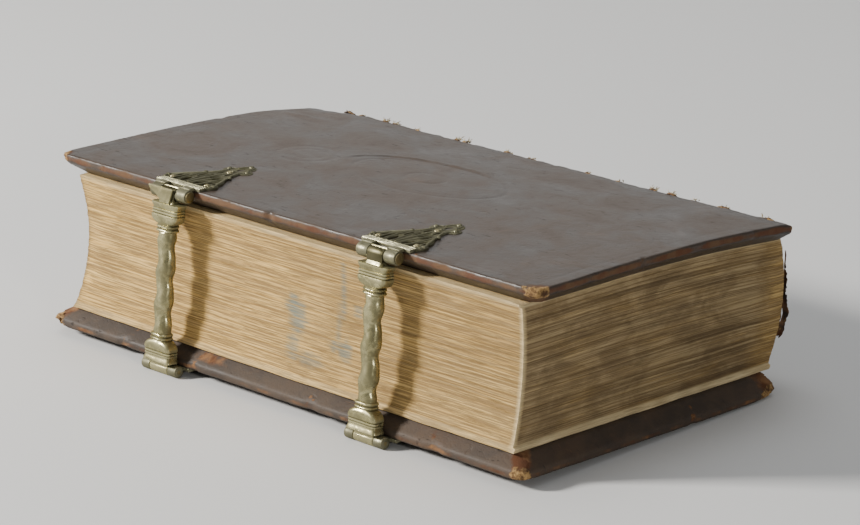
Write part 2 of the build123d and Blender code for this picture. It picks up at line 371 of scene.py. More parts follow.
def use_effect(tree, group, inputs):
    """Place a shared effect in a material with its own values."""
    return new_node(tree, "Group", inputs, node_tree=group).outputs


def scratch_effect():
    """Fine scratches in two directions, broken up so that none runs far."""
    tree, given, result = effect(
        "scratches", [("Vector", "Vector", None), ("Scale", "Float", 60.0), ("Amount", "Float", 0.5)],
        [("Mask", "Float")],
    )
    lines = []
    for turn in (0.35, -0.9):
        streaks = stretched(tree, given["Vector"], (1.0, 18.0, 6.0), turn)
        fine = cloud(tree, streaks, given["Scale"], 2.0, 0.5, 0.1)
        lines.append(stepped(tree, fine, 0.68, 0.74))
    both = math_node(tree, "MAXIMUM", lines[0], lines[1])
    patches = stepped(tree, cloud(tree, given["Vector"], 22.0), 0.48, 0.62)
    broken = scaled(tree, both, patches)
    tree.links.new(scaled(tree, broken, given["Amount"]), result["Mask"])
    return tree


def grime_effect():
    """Blotches of dirt with a soft broken edge."""
    tree, given, result = effect(
        "grime", [("Vector", "Vector", None), ("Scale", "Float", 30.0), ("Spread", "Float", 0.5)],
        [("Mask", "Float")],
    )
    broad = cloud(tree, given["Vector"], given["Scale"], 6.0, 0.62, 0.6)
    edge = math_node(tree, "SUBTRACT", 0.78, scaled(tree, given["Spread"], 0.5))
    start = math_node(tree, "SUBTRACT", edge, 0.16)
    tree.links.new(stepped(tree, broad, start, edge), result["Mask"])
    return tree


def grain_effect():
    """The pores and creases of old calf leather, as a height."""
    tree, given, result = effect(
        "leather_grain", [("Vector", "Vector", None), ("Scale", "Float", 1.0)],
        [("Height", "Float")],
    )
    sized = new_node(
        tree, "VectorMath", {0: given["Vector"], "Scale": given["Scale"]}, operation="SCALE",
    ).outputs[0]
    pores = new_node(tree, "TexVoronoi", {"Vector": sized, "Scale": 620.0}).outputs["Distance"]
    skin = scaled(tree, stepped(tree, pores, 0.0, 0.5), 0.35)
    soft = scaled(tree, cloud(tree, sized, 260.0, 5.0, 0.6), 0.5)
    creases = math_node(
        tree, "ABSOLUTE", math_node(tree, "SUBTRACT", cloud(tree, sized, 45.0, 5.0, 0.6, 0.8), 0.5),
    )
    folds = scaled(tree, stepped(tree, creases, 0.0, 0.06), 0.2)
    pits = stepped(tree, cloud(tree, sized, 110.0, 3.0, 0.5, 0.3), 0.66, 0.74)
    height = added(tree, skin, soft, folds)
    pitted = math_node(tree, "SUBTRACT", height, scaled(tree, pits, 0.9))
    tree.links.new(pitted, result["Height"])
    return tree


scratches = scratch_effect()
grime = grime_effect()
leather_grain = grain_effect()


def new_finish(name):
    """An empty material with its main shader, and the coordinates of the object."""
    material = bpy.data.materials.new(name)
    material.use_nodes = True
    tree = material.node_tree
    shader = tree.nodes["Principled BSDF"]
    coords = new_node(tree, "TexCoord").outputs
    return material, tree, shader, coords


def painted(tree, name):
    """A mask painted on the piece as an attribute."""
    return new_node(tree, "Attribute", attribute_name=name).outputs["Fac"]


def bumped(tree, shader, height, distance, strength=1.0):
    """Give a shader a relief from a height."""
    normal = new_node(
        tree, "Bump", {"Height": height, "Distance": distance, "Strength": strength},
    ).outputs[0]
    tree.links.new(normal, shader.inputs["Normal"])


def leather_finish(name, dark, warm, rubbed, roughness):
    """Old polished leather: darker in the pores, warm where thin, red-brown where rubbed,
    and pale and crumbling where it is bare."""
    red = (0.082, 0.029, 0.009, 1)
    material, tree, shader, coords = new_finish(name)
    where = coords["Object"]
    grain = use_effect(tree, leather_grain, {"Vector": where})
    marks = use_effect(tree, scratches, {"Vector": where, "Scale": 70.0, "Amount": 1.0})["Mask"]
    dirt = use_effect(tree, grime, {"Vector": where, "Scale": 16.0, "Spread": 0.75})["Mask"]
    mottle = cloud(tree, where, 34.0, 7.0, 0.66, 0.5)
    speckle = cloud(tree, where, 420.0, 3.0, 0.6)
    blush = cloud(tree, where, 13.0, 5.0, 0.6, 0.8)
    colour = mixed(tree, stepped(tree, mottle, 0.38, 0.62), dark, warm)
    colour = mixed(tree, scaled(tree, stepped(tree, blush, 0.5, 0.68), 0.5), colour, rubbed)
    colour = mixed(tree, scaled(tree, dirt, 0.6), colour, (0.022, 0.018, 0.014, 1))
    flecks = cloud(tree, stretched(tree, where, (90.0, 420.0, 90.0), 0.1), 1.0, 4.0, 0.7)
    fleck_mask = scaled(tree, stepped(tree, flecks, 0.62, 0.70), 0.75)
    colour = mixed(tree, fleck_mask, colour, (0.018, 0.012, 0.008, 1))
    colour = mixed(tree, scaled(tree, speckle, 0.35), colour, (0.02, 0.016, 0.013, 1))
    colour = mixed(tree, scaled(tree, marks, 0.3), colour, rubbed)
    worn = painted(tree, "rubbed")
    patchy = cloud(tree, where, 180.0, 6.0, 0.7)
    worn_mask = stepped(tree, added(tree, worn, scaled(tree, patchy, 0.8)), 0.72, 1.18)
    thin = mixed(tree, stepped(tree, cloud(tree, where, 75.0, 4.0), 0.42, 0.6), rubbed, red)
    colour = mixed(tree, worn_mask, colour, thin)
    bare = painted(tree, "bare")
    crumbs = cloud(tree, where, 330.0, 6.0, 0.72, 0.3)
    bare_mask = stepped(tree, added(tree, bare, scaled(tree, crumbs, 0.5)), 0.62, 0.82)
    tan = mixed(tree, stepped(tree, crumbs, 0.38, 0.66), (0.07, 0.032, 0.012, 1), (0.42, 0.26, 0.10, 1))
    colour = mixed(tree, bare_mask, colour, tan)
    tree.links.new(colour, shader.inputs["Base Color"])
    dull = added(
        tree, scaled(tree, mottle, 0.5), roughness - 0.25, scaled(tree, fleck_mask, 0.25),
        scaled(tree, marks, 0.12), scaled(tree, worn_mask, 0.34), scaled(tree, bare_mask, 0.4), limit=True,
    )
    tree.links.new(dull, shader.inputs["Roughness"])
    shader.inputs["Specular IOR Level"].default_value = 0.42
    pressed = added(tree, scaled(tree, marks, 0.9), scaled(tree, fleck_mask, 1.2))
    height = math_node(tree, "SUBTRACT", grain["Height"], pressed)
    height = added(tree, height, scaled(tree, crumbs, scaled(tree, bare_mask, 6.0)))
    bumped(tree, shader, height, 0.00022, 0.8)
    return material


def page_finish():
    """The cut edges of hundreds of handled leaves: fine lines and short dark dashes that
    follow the leaves."""
    material, tree, shader, coords = new_finish("page_edges")
    where = coords["Object"]
    leaves = coords["UV"]
    fine = cloud(tree, stretched(tree, leaves, (3.0, 1500.0, 1.0)), 1.0, 2.0, 0.6)
    bands = cloud(tree, stretched(tree, leaves, (1.6, 620.0, 1.0)), 1.0, 2.0, 0.6)
    gatherings = cloud(tree, stretched(tree, leaves, (2.0, 150.0, 1.0)), 1.0, 3.0, 0.6)
    dashes = cloud(tree, stretched(tree, leaves, (30.0, 1700.0, 1.0)), 1.0, 3.0, 0.65)
    flecks = cloud(tree, stretched(tree, leaves, (520.0, 1300.0, 1.0)), 1.0, 3.0, 0.65)
    lines = added(tree, scaled(tree, fine, 0.5), scaled(tree, bands, 0.5))
    tone = stepped(tree, lines, 0.40, 0.62)
    colour = mixed(tree, tone, (0.50, 0.31, 0.096, 1), (0.83, 0.56, 0.20, 1))
    thick = stepped(tree, gatherings, 0.44, 0.70, 0.0, 0.45)
    colour = mixed(tree, thick, colour, (0.46, 0.30, 0.13, 1))
    dirt = use_effect(tree, grime, {"Vector": where, "Scale": 17.0, "Spread": 0.8})["Mask"]
    soil_and_shade = painted(tree, "soil_and_shade")
    crowd = added(tree, scaled(tree, dirt, 0.12), scaled(tree, soil_and_shade, 0.07))
    worn_lines = added(tree, dashes, crowd)
    dark_lines = scaled(tree, stepped(tree, worn_lines, 0.585, 0.70), 0.8)
    colour = mixed(tree, dark_lines, colour, (0.19, 0.115, 0.045, 1))
    spots = scaled(tree, stepped(tree, flecks, 0.68, 0.75), 0.75)
    colour = mixed(tree, spots, colour, (0.11, 0.066, 0.028, 1))
    blotches = scaled(tree, dirt, stepped(tree, bands, 0.3, 0.6))
    colour = mixed(tree, scaled(tree, blotches, 0.3), colour, (0.30, 0.20, 0.09, 1))
    # painted shade together with soiling: the tail face turns a dim, patchy grey-brown
    streaked_and_shaded = scaled(tree, soil_and_shade, stepped(tree, bands, 0.22, 0.62, 0.97, 0.78))
    smudges = cloud(tree, stretched(tree, where, (30.0, 30.0, 60.0)), 1.0, 6.0, 0.65, 0.6)
    patches = stepped(tree, smudges, 0.40, 0.62)
    dim = mixed(tree, tone, (0.092, 0.064, 0.036, 1), (0.215, 0.160, 0.092, 1))
    light = mixed(tree, tone, (0.135, 0.094, 0.050, 1), (0.40, 0.31, 0.175, 1))
    grey = mixed(tree, patches, dim, light)
    colour = mixed(tree, streaked_and_shaded, colour, grey)
    clean = painted(tree, "clean")
    colour = mixed(tree, scaled(tree, clean, 0.7), colour, (0.74, 0.60, 0.35, 1))
    stain = painted(tree, "stain")
    stained = scaled(tree, stain, stepped(tree, bands, 0.34, 0.56, 0.3, 0.95))
    colour = mixed(tree, stained, colour, (0.16, 0.20, 0.18, 1))
    tree.links.new(colour, shader.inputs["Base Color"])
    tree.links.new(stepped(tree, lines, 0.3, 0.7, 0.98, 0.86), shader.inputs["Roughness"])
    shader.inputs["Specular IOR Level"].default_value = 0.15
    height = added(tree, scaled(tree, fine, 0.6), bands)
    height = math_node(tree, "SUBTRACT", height, scaled(tree, dark_lines, 0.5))
    height = added(tree, height, scaled(tree, gatherings, 0.8))
    bumped(tree, shader, height, 0.0006, 0.8)
    return material


def brass_finish(name, base, bright, tarnish_and_shade, roughness, edge_tint=(0.6, 0.57, 0.45, 1)):
    """Cast brass with an olive patina and polished ridges, darker in the hollows, where the patina's
    tarnish is painted together with painted shade.
    """
    material, tree, shader, coords = new_finish(name)
    where = coords["Object"]
    tone = cloud(tree, where, 130.0, 6.0, 0.62, 0.4)
    marks = use_effect(tree, scratches, {"Vector": where, "Scale": 420.0, "Amount": 0.6})["Mask"]
    spots = use_effect(tree, grime, {"Vector": where, "Scale": 190.0, "Spread": 0.45})["Mask"]
    colour = mixed(tree, stepped(tree, tone, 0.34, 0.70, 0.0, 0.7), base, bright)
    colour = mixed(tree, scaled(tree, spots, 0.5), colour, tarnish_and_shade)
    colour = mixed(tree, scaled(tree, marks, 0.35), colour, bright)
    edges = new_node(tree, "NewGeometry").outputs["Pointiness"]
    # painted shade: hollows and creases take the dark tarnish colour, standing in for the shade that falls
    # there as well as for the patina
    hollow_shade_and_patina = stepped(tree, edges, 0.485, 0.42)
    ridge = stepped(tree, edges, 0.52, 0.58)
    colour = mixed(tree, scaled(tree, hollow_shade_and_patina, 0.9), colour, tarnish_and_shade)
    colour = mixed(tree, scaled(tree, ridge, 0.7), colour, bright)
    tree.links.new(colour, shader.inputs["Base Color"])
    tree.links.new(stepped(tree, spots, 0.0, 1.0, 0.80, 0.5), shader.inputs["Metallic"])
    shader.inputs["Specular Tint"].default_value = edge_tint
    dull = added(tree, scaled(tree, tone, 0.14), roughness - 0.07, scaled(tree, spots, 0.16))
    dull = math_node(tree, "SUBTRACT", dull, scaled(tree, ridge, 0.12), limit=True)
    tree.links.new(dull, shader.inputs["Roughness"])
    height = added(tree, scaled(tree, cloud(tree, where, 900.0, 4.0), 0.4), tone)
    height = math_node(tree, "SUBTRACT", height, scaled(tree, marks, 0.4))
    bumped(tree, shader, height, 0.00012, 0.7)
    return material


def paper_finish(name, pale, brown, scale):
    """Handmade paper: flecked, foxed and a little creased."""
    material, tree, shader, coords = new_finish(name)
    where = coords["Object"]
    fibres = cloud(tree, stretched(tree, where, (1.0, 3.0, 1.0), 0.4), 500.0, 4.0, 0.6)
    foxing = use_effect(tree, grime, {"Vector": where, "Scale": scale, "Spread": 0.7})["Mask"]
    edge = cloud(tree, where, 9.0, 5.0, 0.6)
    colour = mixed(tree, stepped(tree, edge, 0.35, 0.65), pale, brown)
    colour = mixed(tree, scaled(tree, foxing, 0.5), colour, (0.28, 0.16, 0.07, 1))
    colour = mixed(tree, scaled(tree, fibres, 0.25), colour, brown)
    tree.links.new(colour, shader.inputs["Base Color"])
    tree.links.new(stepped(tree, fibres, 0.3, 0.7, 0.95, 0.8), shader.inputs["Roughness"])
    creases = cloud(tree, where, 38.0, 4.0, 0.5, 0.5)
    bumped(tree, shader, added(tree, fibres, scaled(tree, creases, 2.0)), 0.0003, 0.8)
    return material


def wood_finish():
    """Old oak board."""
    material, tree, shader, coords = new_finish("oak_board")
    rings = cloud(tree, stretched(tree, coords["Object"], (12.0, 260.0, 260.0)), 1.0, 6.0, 0.6, 0.8)
    colour = mixed(tree, stepped(tree, rings, 0.35, 0.65), (0.16, 0.085, 0.04, 1), (0.36, 0.23, 0.12, 1))
    tree.links.new(colour, shader.inputs["Base Color"])
    tree.links.new(stepped(tree, rings, 0.3, 0.7, 0.85, 0.65), shader.inputs["Roughness"])
    bumped(tree, shader, rings, 0.0003)
    return material


def cord_finish(name, dark, pale):
    """Twisted hemp, in strands that run across the cord."""
    material, tree, shader, coords = new_finish(name)
    where = coords["Object"]
    slanted = stretched(tree, where, (1.0, 1.0, 1.0), 0.5)
    strands = new_node(
        tree, "TexWave", {"Vector": slanted, "Scale": 190.0, "Distortion": 2.5, "Detail": 3.0},
        bands_direction="DIAGONAL",
    ).outputs["Fac"]
    fluff = cloud(tree, where, 700.0, 4.0, 0.7)
    colour = mixed(tree, strands, dark, pale)
    colour = mixed(tree, scaled(tree, fluff, 0.4), colour, (0.12, 0.07, 0.035, 1))
    tree.links.new(colour, shader.inputs["Base Color"])
    tree.links.new(stepped(tree, fluff, 0.3, 0.7, 1.0, 0.8), shader.inputs["Roughness"])
    bumped(tree, shader, added(tree, strands, fluff), 0.0006)
    return material


cover_leather = leather_finish(
    "cover_leather", (0.042, 0.025, 0.014, 1), (0.110, 0.065, 0.036, 1), (0.100, 0.050, 0.020, 1), 0.44,
)
bevel_leather = leather_finish(
    "bevel_leather", (0.060, 0.035, 0.019, 1), (0.125, 0.076, 0.042, 1), (0.190, 0.095, 0.040, 1), 0.66,
)
spine_leather = leather_finish(
    "spine_leather", (0.060, 0.030, 0.016, 1), (0.125, 0.062, 0.032, 1), (0.24, 0.13, 0.065, 1), 0.66,
)
pages = page_finish()
cast_brass = brass_finish(
    "cast_brass", (0.27, 0.245, 0.125, 1), (0.47, 0.435, 0.245, 1), (0.040, 0.035, 0.015, 1), 0.24,
)
plate_brass = brass_finish(
    "plate_brass", (0.105, 0.098, 0.056, 1), (0.24, 0.23, 0.15, 1), (0.020, 0.018, 0.010, 1), 0.44,
    edge_tint=(0.35, 0.34, 0.28, 1),
)
brass_rod = brass_finish(
    "brass_rod", (0.115, 0.090, 0.036, 1), (0.27, 0.225, 0.11, 1), (0.028, 0.022, 0.010, 1), 0.36,
)
brass_nails = brass_finish(
    "brass_nails", (0.23, 0.20, 0.10, 1), (0.46, 0.41, 0.24, 1), (0.04, 0.034, 0.016, 1), 0.30,
)
pastedown_paper = paper_finish("pastedown_paper", (0.62, 0.52, 0.36, 1), (0.47, 0.36, 0.21, 1), 24.0)
lining_paper = paper_finish("lining_paper", (0.50, 0.40, 0.25, 1), (0.32, 0.22, 0.12, 1), 60.0)
oak = wood_finish()
hemp = cord_finish("hemp", (0.20, 0.125, 0.06, 1), (0.50, 0.38, 0.22, 1))
pale_hemp = cord_finish("frayed_hemp", (0.36, 0.30, 0.17, 1), (0.74, 0.68, 0.52, 1))

# the nodes that stay as they are get a finish
for node, thing in frame["nodes"].items():
    for part, finish in (("sewing_cord", hemp), ("spine_lining", lining_paper), ("hinge_pin", brass_rod)):
        if part in node:
            thing.material_slots[0].material = finish


# ---------------------------------------------------------------- text block

# how far the upper cover has slipped towards the spine
COVER_SLIP = (book.inverted() @ upper.translation).y
LEAF_ROWS = 150
LENGTH_CUTS = 112
WIDTH_CUTS = 64
# about where the leaves lie across the book, to find a height before the sides are known
LEAF_FORE = -90
LEAF_WIDTH = 190
# bluish damp stains on the fore-edge: x, height in the block, reach along, reach up, strength
STAINS = (
    (4, 0.50, 5, 0.08, 0.9), (8, 0.42, 6, 0.12, 0.8), (6, 0.22, 4, 0.10, 0.6),
    (44, 0.30, 5, 0.07, 0.8), (36, 0.31, 3, 0.04, 0.7), (41, 0.72, 1.6, 0.20, 0.7),
    (38, 0.45, 1.6, 0.16, 0.5), (52, 0.60, 2.5, 0.05, 0.6), (20, 0.16, 9, 0.05, 0.5),
)


def block_sides():
    """How far the text block reaches towards the fore-edge and the spine, by height."""
    low, high = node_box("text_block", book)
    surface = node_surface("text_block", book)
    samples = 60
    sides = []
    for index in range(samples + 1):
        z = low.z + (high.z - low.z) * (0.003 + 0.96 * index / samples)
        fore = surface.ray_cast(Vector((0, low.y - 50, z)), Vector((0, 1, 0)))[0]
        back = surface.ray_cast(Vector((0, high.y + 50, z)), Vector((0, -1, 0)))[0]
        sides.append((z, fore.y, back.y))
    tops = [surface.ray_cast(Vector((0, y, high.z + 50)), Vector((0, 0, -1)))[0] for y in (-60, 60)]
    slope = (tops[1].z - tops[0].z) / (tops[1].y - tops[0].y)
    return low, high, sides, (tops[0].z - slope * tops[0].y, slope)


block_low, block_high, side_table, block_top = block_sides()


def side_at(z, column):
    """The block's side at a height, read between the sampled heights."""
    step = (side_table[-1][0] - side_table[0][0]) / (len(side_table) - 1)
    place = max(0.0, min(len(side_table) - 1.001, (z - side_table[0][0]) / step))
    index = int(place)
    first, second = side_table[index][column], side_table[index + 1][column]
    return first + (second - first) * (place - index)


def block_point(u, v, w):
    """A point of the text block from shares of its length, width and height."""
    x = block_low.x + u * (block_high.x - block_low.x)
    y = LEAF_FORE + LEAF_WIDTH * v
    z = block_low.z + w * (block_top[0] + block_top[1] * y - block_low.z)
    y = side_at(z, 1) + v * (side_at(z, 2) - side_at(z, 1))
    z = block_low.z + w * (block_top[0] + block_top[1] * y + warp(y - COVER_SLIP) - block_low.z)
    return Vector((x, y, z))


def leaf_relief(along, w):
    """How far the leaves stand out here: gatherings, and single leaves that slipped."""
    gatherings = 0.30 * rough(along / 90, w * 15, 3.1)
    bundles = 0.20 * rough(along / 26, w * 70, 1.7)
    leaves = 0.08 * rough(along / 14, w * 110, 9.4)
    return gatherings + bundles + leaves


def stain_at(point, w):
    """How stained a point of the fore-edge is."""
    strongest = 0.0
    ragged = 0.9 * rough(point.x / 2.2, point.z / 1.6)
    for x, height, reach, rise, strength in STAINS:
        spread = ((point.x - x) / reach) ** 2 + ((w - height) / rise) ** 2
        strongest = max(strongest, strength * ease(1.25 - 0.8 * spread + ragged))
    return strongest


def text_block():
    """All the leaves as one block, with its worn corner, its stained and soiled edges, and painted shade
    darkening its tail face.
    """
    bm = bmesh.new()
    bmesh.ops.create_cube(bm, size=1)
    for axis, cuts in ((2, LEAF_ROWS), (0, LENGTH_CUTS), (1, WIDTH_CUTS)):
        edges = [edge for edge in bm.edges if abs(edge.verts[0].co[axis] - edge.verts[1].co[axis]) > 0.5]
        bmesh.ops.subdivide_edges(bm, edges=edges, cuts=cuts, use_grid_fill=True)
    soil_and_shade = bm.verts.layers.float.new("soil_and_shade")
    stain = bm.verts.layers.float.new("stain")
    clean = bm.verts.layers.float.new("clean")
    share = bm.verts.layers.float_vector.new("share")
    for vert in bm.verts:
        u, v, w = (value + 0.5 for value in vert.co)
        vert[share] = (u, v, w)
        point = block_point(u, v, w)
        body = 4 * w * (1 - w)
        at_fore, at_spine, at_head, at_tail = v < 0.001, v > 0.999, u < 0.001, u > 0.999
        along = point.x if at_fore or at_spine else point.y
        relief = leaf_relief(along, w) * min(1.0, 12 * body)
        flare = ease(1 - w / 0.07) * (1.2 + 0.5 * rough(along / 24, 5.0))
        point.z += body * (0.7 * rough(along / 55, w * 6, 2.2) + 0.25 * rough(along / 17, w * 14, 7.7))
        worn_corner = ease(1 - u / 0.07) * ease(1 - v / 0.13)
        point.x += worn_corner * (4.2 + 3.6 * body)
        point.y += worn_corner * 1.5 * body
        if at_fore:
            point.y -= relief + flare
            corner = ease((point.x - block_high.x + 9) / 9) * ease((w - 0.972) / 0.02)
            point.y -= 2.4 * corner
            point.z += 0.25 * corner
        if at_tail:
            leaves_out = ease((0.034 - w) / 0.008) * (1.7 + 0.5 * rough(point.y / 22, w * 60))
            point.x += relief - 0.15 + 0.4 * ease(1 - w / 0.09) + leaves_out
        if at_head:
            point.x -= relief - 0.15
        if at_spine:
            point.y += 0.3 * rough(point.x / 8, point.z / 3)
        vert.co = point
        # the tail face is painted darker and greyer, less so towards the spine: soiling together with
        # painted shade
        if at_tail and not at_fore:
            fresh = ease((v - 0.86) / 0.12) * 0.45 + 0.22 * rough(point.y / 30, point.z / 9)
            vert[soil_and_shade] = clamp(0.95 - fresh)
        elif at_head:
            vert[soil_and_shade] = 0.55
        elif at_fore:
            vert[soil_and_shade] = clamp(0.30 * ease((u - 0.3) / 0.7) + 0.16 * rough(point.x / 40, point.z / 14))
        if at_fore:
            vert[stain] = stain_at(point, w)
        rim = ease((w - 0.965) / 0.02) * 0.7 + ease((0.045 - w) / 0.012) * (1.0 if at_tail else 0.35)
        vert[clean] = clamp(rim * (0.8 + 0.4 * rough(along / 12, w * 30)))
        if at_fore and at_tail:
            vert[clean] = 1.0
    uv = bm.loops.layers.uv.new("leaves")
    for face in bm.faces:
        ends = all(loop.vert[share][0] < 0.001 for loop in face.loops)
        ends = ends or all(loop.vert[share][0] > 0.999 for loop in face.loops)
        for loop in face.loops:
            along = loop.vert.co.y + 400 if ends else loop.vert.co.x
            flat = loop.vert[share][2] in (0.0, 1.0) and face.normal.z ** 2 > 0.8
            up = loop.vert[share][2] * (block_high.z - block_low.z)
            loop[uv].uv = (along * MM, (loop.vert.co.y if flat else up) * MM)
    draw_piece("leaves", bm, book, "text_block", pages, ["text_block"], crease=60)


text_block()


# ---------------------------------------------------------------- covers

EDGE_SOFT = 1.3
BEVEL_TOP = -4.9
BEVEL_DROP = 5.55
BEVEL_INSET = 8.6
TURN_IN = 24.2
OUTER_RADIUS = 5.0
# deeper than the cover's bow, so that the paper lies free of the leather
PAPER_RECESS = 3.9


def cover_rungs():
    """Steps of a cover's profile, from the outer face over the edge and bevel to the
    paper inside: how far in on the open sides, how far in at the spine, and height."""
    rungs = [
        (EDGE_SOFT, EDGE_SOFT, 0.0), (0.75, 0.75, -0.12), (0.35, 0.35, -0.4), (0.1, 0.1, -0.85),
        (0.0, 0.0, -1.5), (0.0, 0.0, -2.6), (0.05, 0.0, -3.6), (0.35, 0.0, -4.3), (0.9, 0.0, BEVEL_TOP),
    ]
    steps = 8
    for step in range(1, steps + 1):
        share = step / steps
        rungs.append((0.9 + (BEVEL_INSET - 0.9) * share, 0.0, BEVEL_TOP - BEVEL_DROP * share))
    rungs += [(9.2, 0.3, 0.08 - BOARD), (10.2, 1.0, -BOARD)]
    steps = 6
    for step in range(1, steps + 1):
        share = step / steps
        rungs.append((10.2 + (TURN_IN - 10.4) * share, 1.0 + (TURN_IN - 1.2) * share, -BOARD))
    rungs += [(TURN_IN, TURN_IN, 0.25 - BOARD), (TURN_IN, TURN_IN, PAPER_RECESS - BOARD)]
    return rungs


def rounded(x, y, radius):
    """Pull a point of a rectangle's corner onto a rounded one."""
    over_x = abs(x) - (HALF_LENGTH - radius)
    over_y = abs(y) - (HALF_WIDTH - radius)
    if over_x <= 0 or over_y <= 0:
        return x, y
    pull = max(over_x, over_y) / math.hypot(over_x, over_y)
    return (
        math.copysign(HALF_LENGTH - radius + over_x * pull, x),
        math.copysign(HALF_WIDTH - radius + over_y * pull, y),
    )


def cover_mesh(long_cuts, cross_cuts):
    """A plain leather-covered board: outer face, edge, bevel, turn-ins and paper recess."""
    bm = bmesh.new()
    home = bm.verts.layers.float_vector.new("home")
    rung_number = bm.verts.layers.int.new("rung")
    bmesh.ops.create_grid(bm, x_segments=long_cuts, y_segments=cross_cuts, size=1)
    for vert in bm.verts:
        x, y = rounded(vert.co.x * HALF_LENGTH, vert.co.y * HALF_WIDTH, OUTER_RADIUS)
        vert[home] = (x, y, 0)
    rungs = cover_rungs()

    def on_rung(vert):
        inset, spine_inset, z = rungs[vert[rung_number]]
        x = vert[home][0] * (HALF_LENGTH - inset) / HALF_LENGTH
        share = (vert[home][1] + HALF_WIDTH) / (2 * HALF_WIDTH)
        y = -HALF_WIDTH + inset + share * (2 * HALF_WIDTH - inset - spine_inset)
        return Vector((x, y, z))

    for vert in bm.verts:
        vert.co = on_rung(vert)
    line = [edge for edge in bm.edges if edge.is_boundary]
    for number in range(1, len(rungs)):
        line, points = draw_out(bm, line)
        for vert in points:
            vert[rung_number] = number
            vert.co = on_rung(vert)
    bmesh.ops.contextual_create(bm, geom=line)
    bmesh.ops.recalc_face_normals(bm, faces=bm.faces)
    return bm, home


def groove(distance, half_width):
    """Depth share of a pressed line at a distance from its middle."""
    return math.exp(-((distance / half_width) ** 2))


def ellipse_gap(x, y, centre_x, centre_y, half_x, half_y):
    """Roughly how far a point lies from an ellipse's line."""
    dx, dy = x - centre_x, y - centre_y
    scale = math.hypot(dx / half_x, dy / half_y)
    reach = math.hypot(dx, dy)
    return reach - reach / max(scale, 0.001)


# blind tooling on the upper face: centre, half sizes, line half-width and depth
TOOLED_OVALS = (
    (-2, 10, 52, 29, 1.5, 0.42), (-2, 10, 48, 25.5, 0.9, 0.22), (-3, 9, 13, 9.5, 1.3, 0.40),
    (-84, -2, 18, 17, 1.6, 0.32), (-84, -2, 11, 10, 1.0, 0.18),
)
# wear at a cover's four corners: reach and depth, by (head or tail, fore-edge or spine)
UPPER_CORNERS = {(-1, -1): (10, 1.6), (1, -1): (14, 1.5), (1, 1): (7, 1.0), (-1, 1): (6, 1.0)}
LOWER_CORNERS = {(1, -1): (15, 3.4), (-1, -1): (11, 1.0), (-1, 1): (22, 2.0), (1, 1): (9, 1.0)}


def corner_wear(x, y, corners):
    """How worn the nearest corner is here, from 0 to 1, and how deep."""
    side = (1 if x > 0 else -1, 1 if y > 0 else -1)
    reach, depth = corners[side]
    away = math.hypot(HALF_LENGTH - abs(x), HALF_WIDTH - abs(y))
    return clamp(1 - away / reach), depth


def press_tooling(x, y):
    """Depth of the blind tooling and the lifted fold beside it."""
    depth = 0.0
    for centre_x, centre_y, half_x, half_y, wide, deep in TOOLED_OVALS:
        gap = ellipse_gap(x, y, centre_x, centre_y, half_x, half_y)
        kept = 0.65 + 0.5 * rough(x / 22, y / 22, centre_x)
        depth += deep * kept * groove(gap, wide)
    border = min(HALF_LENGTH - abs(x), HALF_WIDTH - abs(y))
    depth += 0.16 * groove(border - 9, 0.8) * (0.6 + 0.6 * rough(x / 30, y / 30, 4.4))
    fold = ellipse_gap(x, y, -8, 8, 56, 33)
    on_fold = ease((y - 4) / 10) * ease((26 - x) / 16)
    depth -= 0.5 * on_fold * ease(1 - abs(fold - 1.2) / 2.6) * (0.7 + 0.7 * rough(x / 8, y / 8))
    depth += 0.25 * on_fold * groove(fold + 1.8, 1.0)
    return depth


def cover_lift(x, y, seed):
    """How the leather rises and sinks over the board, and drops round its spine side."""
    lift = 0.45 * rough(x / 75, y / 60, seed) + 0.10 * rough(x / 16, y / 16, seed + 1)
    lift += 0.05 * rough(x / 4, y / 4, seed + 2)
    roll_over = clamp((y - HALF_WIDTH + 15) / 15)
    lift -= 2.4 * roll_over ** 2.2
    crumpled = 0.75 * rough(x / 7, y / 5, seed + 3) + 0.35 * rough(x / 2.6, y / 2.2, seed + 4)
    return lift + roll_over * crumpled


def head_droop(x, y):
    """The upper leather's sunken corner at the head, with the fold that it throws."""
    sunken = 2.6 * ease((-x - 135) / 45) * ease((y - 40) / 60)
    fold = 0.9 * groove(math.hypot((x + 158) / 16, (y - 62) / 3.5), 1.0)
    return fold - sunken


